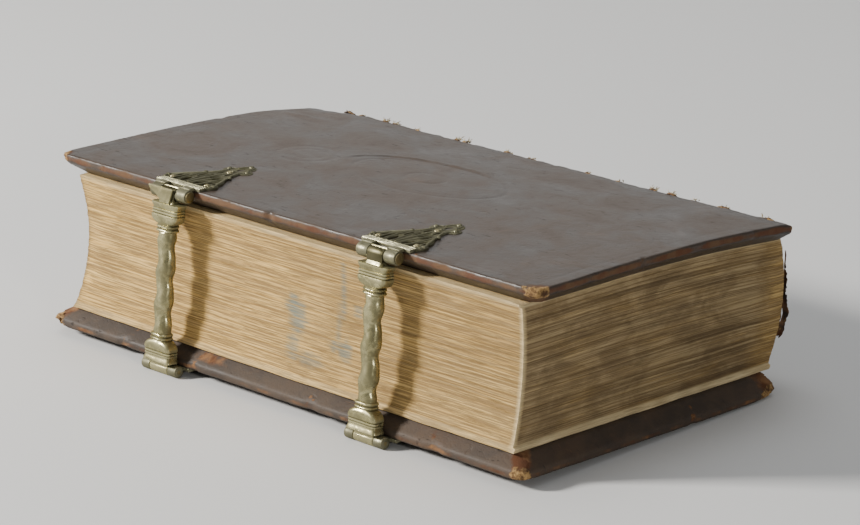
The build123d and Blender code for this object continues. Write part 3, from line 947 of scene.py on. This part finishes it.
def leather_cover(name, node, place, body, cuts, corners, tooled, nicks, board_edge, finish):
    """The leather of one cover, worn at its corners, rolled over at the spine side.
    Nicks give place, reach and depth, and board_edge the middle, reach and strength of
    the rubbed band along the edge."""
    seed = 3.0 if tooled else 31.0
    band_middle, band_reach, band_strength = board_edge
    bm, home = cover_mesh(*cuts)
    rubbed = bm.verts.layers.float.new("rubbed")
    bare = bm.verts.layers.float.new("bare")
    for vert in bm.verts:
        x, y, z = vert.co
        hx, hy = vert[home][0], vert[home][1]
        outer = clamp(1 + z / BOARD)
        at_rim = ease(1 - min(HALF_LENGTH - abs(x), HALF_WIDTH - abs(y)) / 3.0)
        lift = cover_lift(x, y, seed)
        if tooled:
            lift += head_droop(x, y) - press_tooling(x, y)
        worn, depth = corner_wear(hx, hy, corners)
        crumble = 0.55 + 0.55 * rough(x / 2.3, y / 2.3, z / 1.8) + 0.3 * rough(x / 0.9, y / 0.9, z / 0.9)
        eaten = depth * ease(worn * 1.5) * crumble
        eaten += at_rim * (0.22 * abs(rough(x / 5, y / 5, seed + 5)) + 0.12 * rough(x / 1.7, y / 1.7, z))
        bitten = 0.0
        for nick_x, nick_y, reach, bite in nicks:
            hold = ease(1 - math.hypot(hx - nick_x, hy - nick_y) / reach)
            eaten += bite * hold * (0.8 + 0.4 * crumble)
            bitten = max(bitten, hold * clamp(0.35 + 0.9 * rough(x / 2.2, y / 2.2, z / 2.2)))
        inward = Vector((0, 0, 0))
        if abs(hx) > HALF_LENGTH - 6:
            inward.x = -x / HALF_LENGTH
        if abs(hy) > HALF_WIDTH - 6:
            inward.y = -y / HALF_WIDTH
        bowed = warp(y) if tooled else 0.0
        vert.co = Vector((x, y, z + lift * outer + bowed)) + inward * eaten * clamp(at_rim + worn)
        vert.co.z -= 0.35 * eaten * outer

        edge_band = ease(1 - abs(z + band_middle) / band_reach) if at_rim > 0.3 else 0.0
        at_spine_side = ease((hy - HALF_WIDTH + 9) / 9)
        paint = edge_band * band_strength * (0.8 + 0.7 * rough(x / 13, y / 13, seed + 6))
        if not tooled and hy < 20 - HALF_WIDTH:
            scuff = ease(1 - math.hypot((hx - 52) / 28, (z + 8) / 5))
            paint = max(paint, scuff * (0.75 + 0.5 * rough(x / 4, z / 2, 3.3)))
        paint = max(paint, worn * 1.3, bitten)
        paint = max(paint, at_spine_side * (0.35 + 0.6 * rough(x / 9, y / 5, z / 5)))
        vert[rubbed] = clamp(paint)
        bald = worn * 1.25 + 0.35 * rough(x / 3, y / 3, z / 2) * (1 if worn > 0 else 0)
        bald *= ease((z + 8.5) / 3.5)
        bald = max(bald * (0.55 + 0.45 * at_rim), 0.55 * bitten)
        bald = max(bald, at_spine_side * outer * 0.8 * ease(rough(x / 5, y / 3, 8.0) * 2.2 - 0.5))
        vert[bare] = clamp(bald)
    draw_piece(name, bm, place, body, finish, [node], crease=70)


def oak_board(name, node, place, body, bowed):
    """The wooden board inside the leather, a little smaller all round and bowed with it."""
    inset, low, high = 11.0, 1.2 - BOARD, -6.2
    bm = bmesh.new()
    size = (2 * (HALF_LENGTH - inset), 2 * (HALF_WIDTH - inset), high - low)
    soft_block(bm, (0, 0, (low + high) / 2), size, 1.0)
    if bowed:
        across = [edge for edge in bm.edges if abs(edge.verts[0].co.y - edge.verts[1].co.y) > HALF_WIDTH]
        bmesh.ops.subdivide_edges(bm, edges=across, cuts=24, use_grid_fill=True)
        for vert in bm.verts:
            vert.co.z += warp(vert.co.y)
    draw_piece(name, bm, place, body, oak, [node], crease=40)


def pastedown(name, node, place, body, bowed):
    """The paper pasted inside a cover, a little cockled."""
    low, high = node_box(node, place)
    bm = bmesh.new()
    made = bmesh.ops.create_grid(bm, x_segments=90, y_segments=50, size=1)["verts"]
    for vert in made:
        x = (low.x + high.x) / 2 + vert.co.x * (high.x - low.x) / 2
        y = (low.y + high.y) / 2 + vert.co.y * (high.y - low.y) / 2
        cockle = 0.05 * rough(x / 22, y / 30) + 0.03 * rough(x / 7, y / 9)
        bow = warp(y) if bowed else 0.0
        vert.co = Vector((x, y, low.z + 0.12 + cockle + bow))
    bmesh.ops.solidify(bm, geom=bm.faces[:], thickness=0.3)
    bmesh.ops.recalc_face_normals(bm, faces=bm.faces)
    draw_piece(name, bm, place, body, pastedown_paper, [node], crease=40)


for side, place in (("upper", upper), ("lower", lower)):
    oak_board(f"{side}_oak", f"{side}_board", place, f"{side}_cover", side == "upper")
for side, place in (("upper", upper), ("lower", lower)):
    pastedown(f"{side}_paper", f"{side}_pastedown", place, f"{side}_cover", side == "upper")
leather_cover(
    "upper_leather", "upper_cover_leather", upper, "upper_cover", (280, 158), UPPER_CORNERS, True,
    ((-10, -HALF_WIDTH, 5, 1.6), (HALF_LENGTH, -22, 3, 1.3), (-95, -HALF_WIDTH, 6, 0.8),
     (96, -HALF_WIDTH, 5, 0.7), (HALF_LENGTH, 66, 4, 0.6), (-HALF_LENGTH, 20, 5, 0.8)),
    (2.4, 3.4, 1.0), cover_leather,
)
leather_cover(
    "lower_leather", "lower_cover_leather", lower, "lower_cover", (220, 124), LOWER_CORNERS, False,
    ((118, -HALF_WIDTH, 6, 0.9), (-30, -HALF_WIDTH, 7, 0.8), (-120, -HALF_WIDTH, 8, 0.8),
     (60, -HALF_WIDTH, 5, 0.6), (-HALF_LENGTH, 30, 5, 0.6)),
    (2.0, 2.4, 0.62), bevel_leather,
)


# ---------------------------------------------------------------- torn leather at the spine

# scraps left along the upper cover's joint: place along it, length, width, lift and whether
# it is pale cord fibre rather than leather
SCRAPS = (
    (-154, 7, 5, 1.6, False), (-143, 5, 4, 1.2, False), (-124, 6, 3, 1.8, True),
    (-116, 5, 3, 1.4, True), (-98, 7, 3, 0.8, False), (-66, 4, 3, 1.6, True),
    (-59, 5, 3, 1.4, True), (-26, 6, 3, 1.7, True), (-8, 8, 4, 0.8, False),
    (34, 6, 4, 1.1, False), (57, 7, 3, 0.8, False), (82, 6, 4, 1.5, True),
    (95, 7, 4, 1.7, True), (112, 6, 3, 0.8, False), (131, 8, 5, 1.6, False),
    (161, 10, 6, 1.3, False),
)
# what hangs from the spine leather at the tail: foot, top, reach, sway and seed of each strip
HANGING_STRIPS = ((26.5, 49, 6.4, 1.1, 1.0), (48, 62, 4.2, 0.4, 6.0), (63, 72, 2.8, 0.2, 12.0))


def torn_sheet(bm, long_cuts, cross_cuts, shape, thickness):
    """A sheet with ragged edges: shape gives the place of each of its points."""
    made = bmesh.ops.create_grid(bm, x_segments=long_cuts, y_segments=cross_cuts, size=1)["verts"]
    for vert in made:
        vert.co = shape(vert.co.x, vert.co.y)
    faces = list({face for vert in made for face in vert.link_faces})
    bmesh.ops.solidify(bm, geom=faces, thickness=thickness)


def spine_remnants():
    """What is left of the spine leather: torn along both joints, loose at the tail."""
    low, high = node_box("spine_leather", book)
    surface = node_surface("spine_leather", book)
    middle = (low.z + high.z) / 2

    def outer_face(x, z):
        x = max(low.x + 0.5, min(high.x - 0.5, x))
        z = max(low.z + 0.3, min(high.z - 0.3, z))
        hit = surface.ray_cast(Vector((x, high.y + 40, z)), Vector((0, -1, 0)))[0]
        return hit.y if hit else high.y - 2

    def shape(u, v):
        x = (low.x + high.x) / 2 + u * (high.x - low.x) / 2
        at_tail = ease((x - high.x + 26) / 26)
        top = high.z - 1.5 + 2.6 * rough(x / 13, 2.0) + 1.2 * rough(x / 3.1, 4.0)
        foot = low.z + 1.5 + 2.4 * rough(x / 11, 7.0) + 1.2 * rough(x / 2.7, 9.0) + 1.5 * at_tail
        z = middle + (v * (top - middle) if v > 0 else -v * (foot - middle))
        x += 1.6 * rough(z / 3.0, 5.0) * abs(u) ** 8 * (-1 if u > 0 else 0.5)
        y = outer_face(x, z) - 0.35 + 0.18 * rough(x / 5, z / 5) + 0.3 * abs(v) ** 6
        y -= 0.4 * at_tail * rough(z / 6, 1.0)
        return Vector((x, y, z))

    bm = bmesh.new()
    rubbed = bm.verts.layers.float.new("rubbed")
    bare = bm.verts.layers.float.new("bare")
    torn_sheet(bm, 300, 26, shape, 0.8)
    for vert in bm.verts:
        edge = max(ease((vert.co.z - high.z + 7) / 7), ease((low.z + 7 - vert.co.z) / 7))
        vert[rubbed] = clamp(0.35 + 0.5 * edge + 0.5 * rough(vert.co.x / 9, vert.co.z / 9))
        vert[bare] = clamp(0.65 * edge + 0.5 * rough(vert.co.x / 4, vert.co.z / 3))
    bmesh.ops.recalc_face_normals(bm, faces=bm.faces)
    draw_piece(
        "spine_remnants", bm, book, "text_block", spine_leather, ["spine_leather"],
        crease=60,
    )


def hanging_flap():
    """The flap of spine leather that curls away at the tail, with a shorter tuft above it."""
    low, high = node_box("spine_leather", book)
    bm = bmesh.new()
    rubbed = bm.verts.layers.float.new("rubbed")
    bare = bm.verts.layers.float.new("bare")
    for foot, top, reach, sway, seed in HANGING_STRIPS:

        def shape(u, v):
            share = (v + 1) / 2
            out = (u + 1) / 2
            z = foot + share * (top - foot) + 1.3 * rough(u * 2.2, seed)
            width = reach * (0.75 + 0.3 * rough(share * 4.5, seed) + 0.2 * rough(share * 13, seed + 2))
            x = high.x - 3.5 + out * width
            y = high.y + 0.1 - 1.6 * out ** 2 + sway * math.sin(3 * share + seed)
            y -= 8.0 * ease((38 - z) / 16)
            return Vector((x, y, z))

        torn_sheet(bm, 14, 34, shape, 0.7)
    for vert in bm.verts:
        vert[rubbed] = clamp(0.55 + 0.6 * rough(vert.co.y / 3, vert.co.z / 5))
        vert[bare] = clamp(0.25 + 0.7 * rough(vert.co.y / 2, vert.co.z / 3))
    bmesh.ops.recalc_face_normals(bm, faces=bm.faces)
    draw_piece("hanging_flap", bm, book, "text_block", spine_leather, crease=60)


def joint_scraps():
    """Torn lumps of leather and frayed cord along the upper cover's joint."""
    leather = bmesh.new()
    rubbed = leather.verts.layers.float.new("rubbed")
    bare = leather.verts.layers.float.new("bare")
    fibres = bmesh.new()
    chance = random.Random(11)
    for x, long, wide, lift, fibrous in SCRAPS:
        seed = x * 0.37

        def shape(u, v):
            along = x + u * long / 2 + 0.8 * rough(v * 2, seed)
            across = HALF_WIDTH - 3.0 + (v + 1) / 2 * wide * (0.8 + 0.4 * rough(u * 2.4, seed))
            rise = -1.7 + 0.75 * lift * (1 - u * u) * (0.8 + 0.5 * rough(u * 2, v * 2, seed))
            droop = 1.9 * ((v + 1) / 2) ** 2.4
            return Vector((along, across, rise - droop + 0.35 * rough(u * 5, v * 5, seed)))

        torn_sheet(leather, 12, 9, shape, 0.55)
        for _ in range(16 if fibrous else 5):
            points = [Vector((x + chance.uniform(-long, long) * 0.4, HALF_WIDTH - 1.2, -1.2))]
            step = Vector((chance.uniform(-0.9, 0.9), chance.uniform(-0.2, 0.7), chance.uniform(0.0, 0.4)))
            for _ in range(3):
                step = step * 0.8 + Vector([chance.uniform(-0.9, 0.9) for _ in range(3)])
                points.append(points[-1] + step * (0.62 if fibrous else 0.4))
            radius = chance.uniform(0.22, 0.42)
            bead(fibres, points, [radius, radius, radius * 0.8, radius * 0.4], 3)
    for vert in leather.verts:
        vert[rubbed] = clamp(0.5 + 0.6 * rough(vert.co.x / 3, vert.co.y / 3))
        vert[bare] = clamp(0.5 + 0.6 * rough(vert.co.x / 2, vert.co.y / 2, 5.0))
    bmesh.ops.recalc_face_normals(leather, faces=leather.faces)
    draw_piece("joint_scraps", leather, upper, "upper_cover", spine_leather, crease=60)
    draw_piece("joint_fibres", fibres, upper, "upper_cover", pale_hemp, crease=60)


spine_remnants()
hanging_flap()
joint_scraps()


# ---------------------------------------------------------------- clasps

Knuckles = namedtuple("Knuckles", "y z radius bore inner")

# the two knuckles of a fixing plate: their middle, radius, bore and where they start
HINGE_ROLL = Knuckles(y=-3.75, z=1.75, radius=3.25, bore=1.25, inner=7.3)
CATCH_ROLL = Knuckles(y=-4.0, z=-2.9, radius=3.8, bore=1.7, inner=5.9)
ROLL_END = 13.6
BAR_RADIUS = 1.6
BAR_HEAD_RADIUS = 3.0
BAR_HEAD = 0.8
NAILS = ((-13.6, 8.5), (13.6, 8.5), (0, 37.5))
PLATE = 1.6
# half of a fixing plate's outline, from its straight front edge to its trefoil end: x, y, corner
PLATE_SIDE = (
    (17.2, 0, True), (17.4, 3.6, True), (19.3, 7.4, False), (19.0, 11.5, False), (16.2, 13.6, True),
    (15.6, 18.0, False), (12.2, 23.0, False), (9.6, 27.2, False), (9.9, 29.6, False), (7.4, 31.0, True),
    (6.8, 35.4, False), (6.0, 38.8, True), (9.3, 41.4, False), (9.4, 46.2, False), (5.8, 48.0, True),
    (5.4, 51.8, False), (3.0, 55.0, False),
)
# piercings beside the middle: drop-shaped slits between the scrolls
SIDE_PIERCINGS = (
    ((14.4, 11.4), (13.9, 16.6), 0.9), ((9.9, 6.0), (11.6, 19.6), 1.35), ((4.6, 6.6), (6.6, 16.2), 1.7),
    ((5.6, 19.4), (6.6, 27.6), 1.15), ((1.7, 21.6), (2.6, 28.6), 0.8), ((3.4, 31.0), (3.2, 37.4), 0.95),
)


def tube_roll(bm, start, end, y, z, radius, bore):
    """A knuckle along X, bored for its pin, with softened rims."""
    profile = bmesh.ops.create_circle(bm, cap_ends=False, radius=1, segments=8)["verts"]
    soft = 0.45
    corners = (
        (start, bore), (start, radius - soft), (start + 0.13, radius - 0.13), (start + soft, radius),
        (end - soft, radius), (end - 0.13, radius - 0.13), (end, radius - soft), (end, bore),
    )
    for vert, (x, out) in zip(profile, corners):
        vert.co = (x, y, z + out)
    ring = list({edge for vert in profile for edge in vert.link_edges})
    bmesh.ops.spin(
        bm, geom=profile + ring, cent=(0, y, z), axis=(1, 0, 0), angle=2 * math.pi, steps=44,
        use_merge=True,
    )


def drop_slit(start, end, half_width, side):
    """A drop-shaped piercing, pointed towards the plate's tip."""
    (x1, y1), (x2, y2) = start, end
    length = math.hypot(x2 - x1, y2 - y1)
    along = ((x2 - x1) / length, (y2 - y1) / length)
    across = (-along[1], along[0])
    points = []
    for share, wide, corner in ((0, 0, False), (0.3, 1, False), (0.7, 0.75, False), (1, 0, True),
                                (0.7, -0.75, False), (0.3, -1, False)):
        x = x1 + along[0] * length * share + across[0] * half_width * wide
        y = y1 + along[1] * length * share + across[1] * half_width * wide
        points.append((side * x, y, corner))
    return points


# mouldings across the front of a plate: y, radius and reach
FRONT_BEADS = ((0.7, 0.55, 17.0), (2.2, 0.42, 17.2), (3.5, 0.36, 17.2), (4.9, 0.42, 16.8))
# ribs of a plate, on both sides of its middle: half-width and points
SIDE_RIBS = (
    (0.85, ((17.6, 6.0), (18.4, 10.4), (15.2, 14.2), (14.4, 18.2), (10.8, 23.4), (8.7, 28.6))),
    (0.7, ((8.7, 29.0), (6.2, 33.0), (4.6, 38.0), (5.4, 41.2))),
    (0.65, ((4.6, 40.8), (7.2, 42.6), (7.2, 45.6), (4.4, 46.8))),
    (0.6, ((3.6, 47.6), (3.8, 51.4), (1.4, 54.6))),
    (0.55, ((7.9, 5.2), (8.4, 10.4), (8.9, 15.4), (9.0, 20.4), (9.2, 25.2))),
    (0.5, ((2.0, 6.0), (2.6, 12.2), (4.4, 18.0), (4.2, 24.2), (4.6, 29.6))),
)
MIDDLE_RIB = (0.75, ((0, 7.0), (0, 16.0), (0, 24.0), (0, 33.0)))
# bosses of a plate: x, y and radius
SIDE_BOSSES = ((18.0, 9.2, 1.5), (9.4, 28.8, 1.35), (7.0, 44.1, 1.5))
MIDDLE_BOSSES = ((0, 54.0, 1.6), (0, 40.4, 1.2))


def raised_rib(bm, width, points, side=1):
    """A rounded rib cast along the plate, tapering to both ends."""
    last = len(points) - 1
    swell = [math.sin(math.pi * (0.12 + 0.76 * number / last)) for number in range(last + 1)]
    radii = [width * (0.45 + 0.55 * share) for share in swell]
    bead(bm, [(side * x, y, PLATE) for x, y in points], radii)


def openwork(bm):
    """The pierced plate with its scrolls, leaf, mouldings and bosses."""
    left = [(-x, y, corner) for x, y, corner in reversed(PLATE_SIDE)]
    outline = list(PLATE_SIDE) + [(0, 56, False)] + left
    piercings = [drop_slit(*slit, side) for slit in SIDE_PIERCINGS for side in (-1, 1)]
    piercings.append(drop_slit((0, 43.2), (0, 49.4), 1.3, 1))
    flat_casting(bm, [outline] + piercings, -0.2, PLATE, 0.3)
    for y, radius, reach in FRONT_BEADS:
        ends = (-reach, -reach / 3, reach / 3, reach)
        bead(bm, [(x, y, PLATE - 0.15) for x in ends], [radius] * 4)
    for side in (-1, 1):
        for width, points in SIDE_RIBS:
            raised_rib(bm, width, points, side)
        for x, y, radius in SIDE_BOSSES:
            knob(bm, side * x, y, PLATE, radius)
    raised_rib(bm, *MIDDLE_RIB)
    for x, y, radius in MIDDLE_BOSSES:
        knob(bm, x, y, PLATE, radius)


def fixing_plate(name, node, nails_node, place, body, knuckles):
    """A fixing plate with its two knuckles, and its nails as a piece beside it."""
    bm = bmesh.new()
    openwork(bm)
    for side in (-1, 1):
        start, end = sorted((side * knuckles.inner, side * ROLL_END))
        tube_roll(bm, start, end, knuckles.y, knuckles.z, knuckles.radius, knuckles.bore)
        middle = ((start + end) / 2, knuckles.y / 2 + 0.4, PLATE / 2)
        soft_block(bm, middle, (end - start - 0.1, 0.8 - knuckles.y, PLATE), 0.3)
    bmesh.ops.recalc_face_normals(bm, faces=bm.faces)
    draw_piece(name, bm, place, body, plate_brass, [node], crease=40)
    nails = bmesh.new()
    for x, y in NAILS:
        knob(nails, x, y, PLATE - 0.1, 1.75, 0.62)
    draw_piece(name + "_nails", nails, place, body, brass_nails, [nails_node], crease=60)


# sizes of the arm's ends, from the shaft outwards: distance, half-width, front reach and
# how square the section is
ARM_END = (
    (0.0, 5.5, 4.6, 2.6), (0.15, 6.1, 5.0, 3.2), (0.8, 6.5, 5.3, 3.6), (1.45, 6.1, 5.0, 3.6),
    (1.65, 5.5, 4.5, 3.6), (2.15, 5.5, 4.5, 3.6), (2.35, 6.0, 4.9, 3.6), (2.9, 6.35, 5.2, 3.8),
    (3.45, 6.0, 4.9, 4.0), (3.65, 5.6, 4.4, 4.0), (4.1, 5.8, 4.3, 4.4), (4.5, 6.9, 4.6, 5.0),
    (5.2, 8.1, 4.9, 5.5), (6.1, 9.1, 5.1, 6.0), (7.2, 9.8, 5.2, 6.5), (8.4, 10.1, 5.15, 7.0),
    (9.3, 10.0, 4.9, 7.0), (9.5, 9.4, 4.3, 7.0), (9.9, 9.4, 4.3, 7.0), (10.05, 9.9, 4.75, 7.0),
    (10.9, 9.9, 4.75, 7.0), (11.05, 9.4, 4.3, 7.0), (11.4, 9.4, 4.3, 7.0), (11.55, 9.8, 4.6, 7.0),
    (12.3, 9.9, 4.65, 7.0), (12.5, 9.5, 4.2, 7.0), (12.9, 9.6, 4.25, 7.0), (13.8, 10.0, 4.5, 7.0),
    (14.8, 10.55, 4.95, 7.0), (15.6, 10.6, 5.05, 7.0), (15.9, 10.2, 4.6, 6.0),
)
ARM_BACK = 3.2
ARM_MIDDLE = -0.9
KNUCKLE_HALF = 6.95
SHAFT_WAVES = 3.1


def shaft_sections(start, end, phase):
    """The twisted shaft: its middle winds round, and its section swells in time with it."""
    steps = 150
    sections = []
    for step in range(steps + 1):
        share = step / steps
        turn = 2 * math.pi * SHAFT_WAVES * share + phase
        settle = ease(share / 0.10) * ease((1 - share) / 0.10)
        sway = 0.75 * settle * math.sin(turn)
        swell = 0.35 * settle * math.cos(turn)
        half = 5.35 + swell + 0.25 * settle * math.cos(2 * turn)
        front = 4.9 + 0.6 * settle * math.sin(turn + 1.1)
        section = oval(half, front, ARM_BACK, 2.15, (sway, ARM_MIDDLE))
        sections.append([(x, y, start + share * (end - start)) for x, y in section])
    return sections


def end_sections(base, way):
    """The moulded end of the arm, from the shaft towards its foot or its head."""
    length = ARM_END[-1][0]
    stations = ARM_END if way > 0 else tuple(reversed(ARM_END))
    sections = []
    for distance, half, front, square in stations:
        section = oval(half, front, ARM_BACK, square, (0, ARM_MIDDLE))
        sections.append([(x, y, base + way * (distance - length)) for x, y in section])
    return sections


def tongue_profile(bar_z, radius, bore):
    """The hook's side view as y and z pairs: up the front, over the bar and back under."""
    outer = [(-radius, bar_z - 5.4)]
    for step in range(15):
        angle = math.radians(180 - 11.5 * step)
        outer.append((radius * math.cos(angle), bar_z + radius * math.sin(angle)))
    inner = []
    for step in range(13):
        angle = math.radians(19 + 16.5 * step)
        inner.append((bore * math.cos(angle), bar_z + bore * math.sin(angle)))
    return outer + inner + [(-1.2, bar_z - 2.6), (-1.2, bar_z - 5.4)]


def hook(bm, bar_z, widened):
    """The tongue that curls over the catch bar, with a cheek before the left knuckle."""
    profile = tongue_profile(bar_z, CATCH_ROLL.radius, CATCH_ROLL.bore + 0.1)
    half = 5.55
    loft(bm, [
        [(x, y * shrink - (1 - shrink) * 1.2, bar_z + (z - bar_z) * shrink) for y, z in profile]
        for x, shrink in ((-half, 0.94), (-half + 0.3, 1), (half - 0.3, 1), (half, 0.94))
    ])
    if widened:
        sections = []
        for share in (0, 0.06, 0.25, 0.5, 0.75, 0.9, 1):
            z = bar_z - 5.0 + 8.0 * share
            left = -3.8 - 9.4 * ease(share * 1.15) ** 1.4
            right = 3.6 + 1.9 * ease(share)
            front = -5.3 + 0.5 * math.sin(math.pi * share)
            thick = 0.75 if 0 < share < 1 else 0.5
            section = oval((right - left) / 2, thick, thick, 6, ((left + right) / 2, front + 0.3))
            sections.append([(x, y, z) for x, y in section])
        loft(bm, sections)
    neck = []
    for share, half_wide in ((0, 7.4), (0.2, 6.4), (0.5, 5.9), (1, 5.5)):
        section = oval(half_wide, 2.9 + 0.9 * (1 - share), 1.8, 6, (0, -1.2))
        neck.append([(x, y, bar_z - 6.0 + 2.4 * share) for x, y in section])
    loft(bm, neck)


def arm_place(number):
    """Axes of a clasp arm: origin on its hinge, Z to the catch bar, Y towards the book."""
    foot = Vector(hinges[f"clasp_{number}_hinge"]["pos_m"])
    bar_low, bar_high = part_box(f"catch_bar_{number}")
    head = (Vector(bar_low) + Vector(bar_high)) / 2
    up = (head - foot).normalized()
    along = Vector((1, 0, 0))
    turn = Matrix((along, up.cross(along), up)).transposed().to_4x4()
    return Matrix.Translation(foot) @ turn @ Matrix.Scale(MM, 4), (head - foot).length / MM


def clasp_arm(number):
    """One casting: knuckle, moulded foot, twisted shaft, moulded head and hook."""
    place, span = arm_place(number)
    length = ARM_END[-1][0]
    foot_base = HINGE_ROLL.radius + 0.45
    head_base = span - CATCH_ROLL.radius - 1.4
    bm = bmesh.new()
    sections = []
    for half, z in ((6.6, 1.55), (6.9, 1.9), (6.9, 3.4)):
        sections.append([(x, y, z) for x, y in oval(half, 3.0, 2.3, 8, (0, ARM_MIDDLE + 0.6))])
    loft(bm, sections)
    phase = 0.6 if number == 1 else 2.4
    casting = end_sections(foot_base, -1)
    casting += shaft_sections(foot_base + length, head_base - length, phase)[1:-1]
    casting += end_sections(head_base, 1)
    loft(bm, casting)
    tube_roll(bm, -KNUCKLE_HALF, KNUCKLE_HALF, 0, 0, HINGE_ROLL.radius, HINGE_ROLL.bore)
    hook(bm, span, number == 1)
    bmesh.ops.recalc_face_normals(bm, faces=bm.faces)
    draw_piece(
        f"clasp_{number}", bm, place, f"clasp_{number}", cast_brass,
        [f"clasp_arm_{number}"], crease=50,
    )


def catch_bar(number, place):
    """The bar through the catch's knuckles, with its domed and flattened heads."""
    bm = bmesh.new()
    roll(bm, -ROLL_END, ROLL_END, CATCH_ROLL.y, CATCH_ROLL.z, BAR_RADIUS, 0.1)
    for side in (-1, 1):
        start, end = sorted((side * ROLL_END, side * (ROLL_END + BAR_HEAD)))
        roll(bm, start, end, CATCH_ROLL.y, CATCH_ROLL.z, BAR_HEAD_RADIUS, 0.3)
    draw_piece(
        f"bar_{number}", bm, place, "upper_cover", brass_rod,
        [f"catch_bar_{number}"], crease=40,
    )


for number, clasp_x in enumerate(clasp_places, 1):
    catch = upper @ Matrix.Translation((clasp_x, -HALF_WIDTH, 0))
    hinge = lower @ Matrix.Translation((-clasp_x, -HALF_WIDTH, 0))
    for part, place, body, knuckles in (
        ("catch", catch, "upper_cover", CATCH_ROLL), ("hinge", hinge, "lower_cover", HINGE_ROLL),
    ):
        plate, nails = f"{part}_plate_{number}", f"{part}_rivets_{number}"
        fixing_plate(f"{part}_{number}", plate, nails, place, body, knuckles)
    catch_bar(number, catch)
    clasp_arm(number)


# ---------------------------------------------------------------- stage, lights and camera

FLOOR_TONE = (0.59, 0.592, 0.585, 1)
SKY_TONE = (0.86, 0.88, 0.90, 1)
SKY_STRENGTH = 0.27
# area lights, all turned to the book: name, place, size, power and colour
LIGHTS = (
    ("key", (-1.65, -1.75, 1.25), 0.42, 160, (1.0, 0.965, 0.92)),
    ("top", (-0.4, 0.5, 2.4), 1.6, 21, (0.97, 0.98, 1.0)),
    ("back", (-1.7, 1.7, 1.0), 1.5, 6.5, (1.0, 0.99, 0.97)),
    ("glint", (2.1, -0.95, 0.75), 0.2, 14, (1.0, 0.98, 0.95)),
)
LIT_POINT = Vector((0, 0, 0.05))
CAMERA_PLACE = (1.22788, -1.25075, 0.59856)
CAMERA_TURN = (72.7786, -0.1308, 44.2344)
LENS = 141.46


def floor():
    """A wide sheet of pale studio paper."""
    bm = bmesh.new()
    bmesh.ops.create_grid(bm, x_segments=8, y_segments=8, size=8)
    mesh = bpy.data.meshes.new("floor")
    bm.to_mesh(mesh)
    bm.free()
    material, _, shader, _ = new_finish("studio_paper")
    shader.inputs["Base Color"].default_value = FLOOR_TONE
    shader.inputs["Roughness"].default_value = 0.9
    mesh.materials.append(material)
    sheet = bpy.data.objects.new("floor", mesh)
    scene_objects.link(sheet)


def studio_light():
    """A dim even sky, and the area lights."""
    world = bpy.data.worlds.new("studio")
    bpy.context.scene.world = world
    world.use_nodes = True
    sky = world.node_tree.nodes["Background"]
    sky.inputs["Color"].default_value = SKY_TONE
    sky.inputs["Strength"].default_value = SKY_STRENGTH
    for name, spot, size, power, colour in LIGHTS:
        lamp = bpy.data.lights.new(name, "AREA")
        lamp.size = size
        lamp.energy = power
        lamp.color = colour
        holder = bpy.data.objects.new(name, lamp)
        holder.location = spot
        holder.rotation_euler = (LIT_POINT - Vector(spot)).to_track_quat("-Z", "Y").to_euler()
        scene_objects.link(holder)


def camera():
    """A long lens from the tail's fore-edge corner, a little above the book."""
    lens = bpy.data.cameras.new("camera")
    lens.sensor_width = 36
    lens.lens = LENS
    lens.clip_end = 100
    holder = bpy.data.objects.new("camera", lens)
    holder.location = CAMERA_PLACE
    holder.rotation_euler = [math.radians(angle) for angle in CAMERA_TURN]
    scene_objects.link(holder)
    bpy.context.scene.camera = holder


floor()
studio_light()
camera()
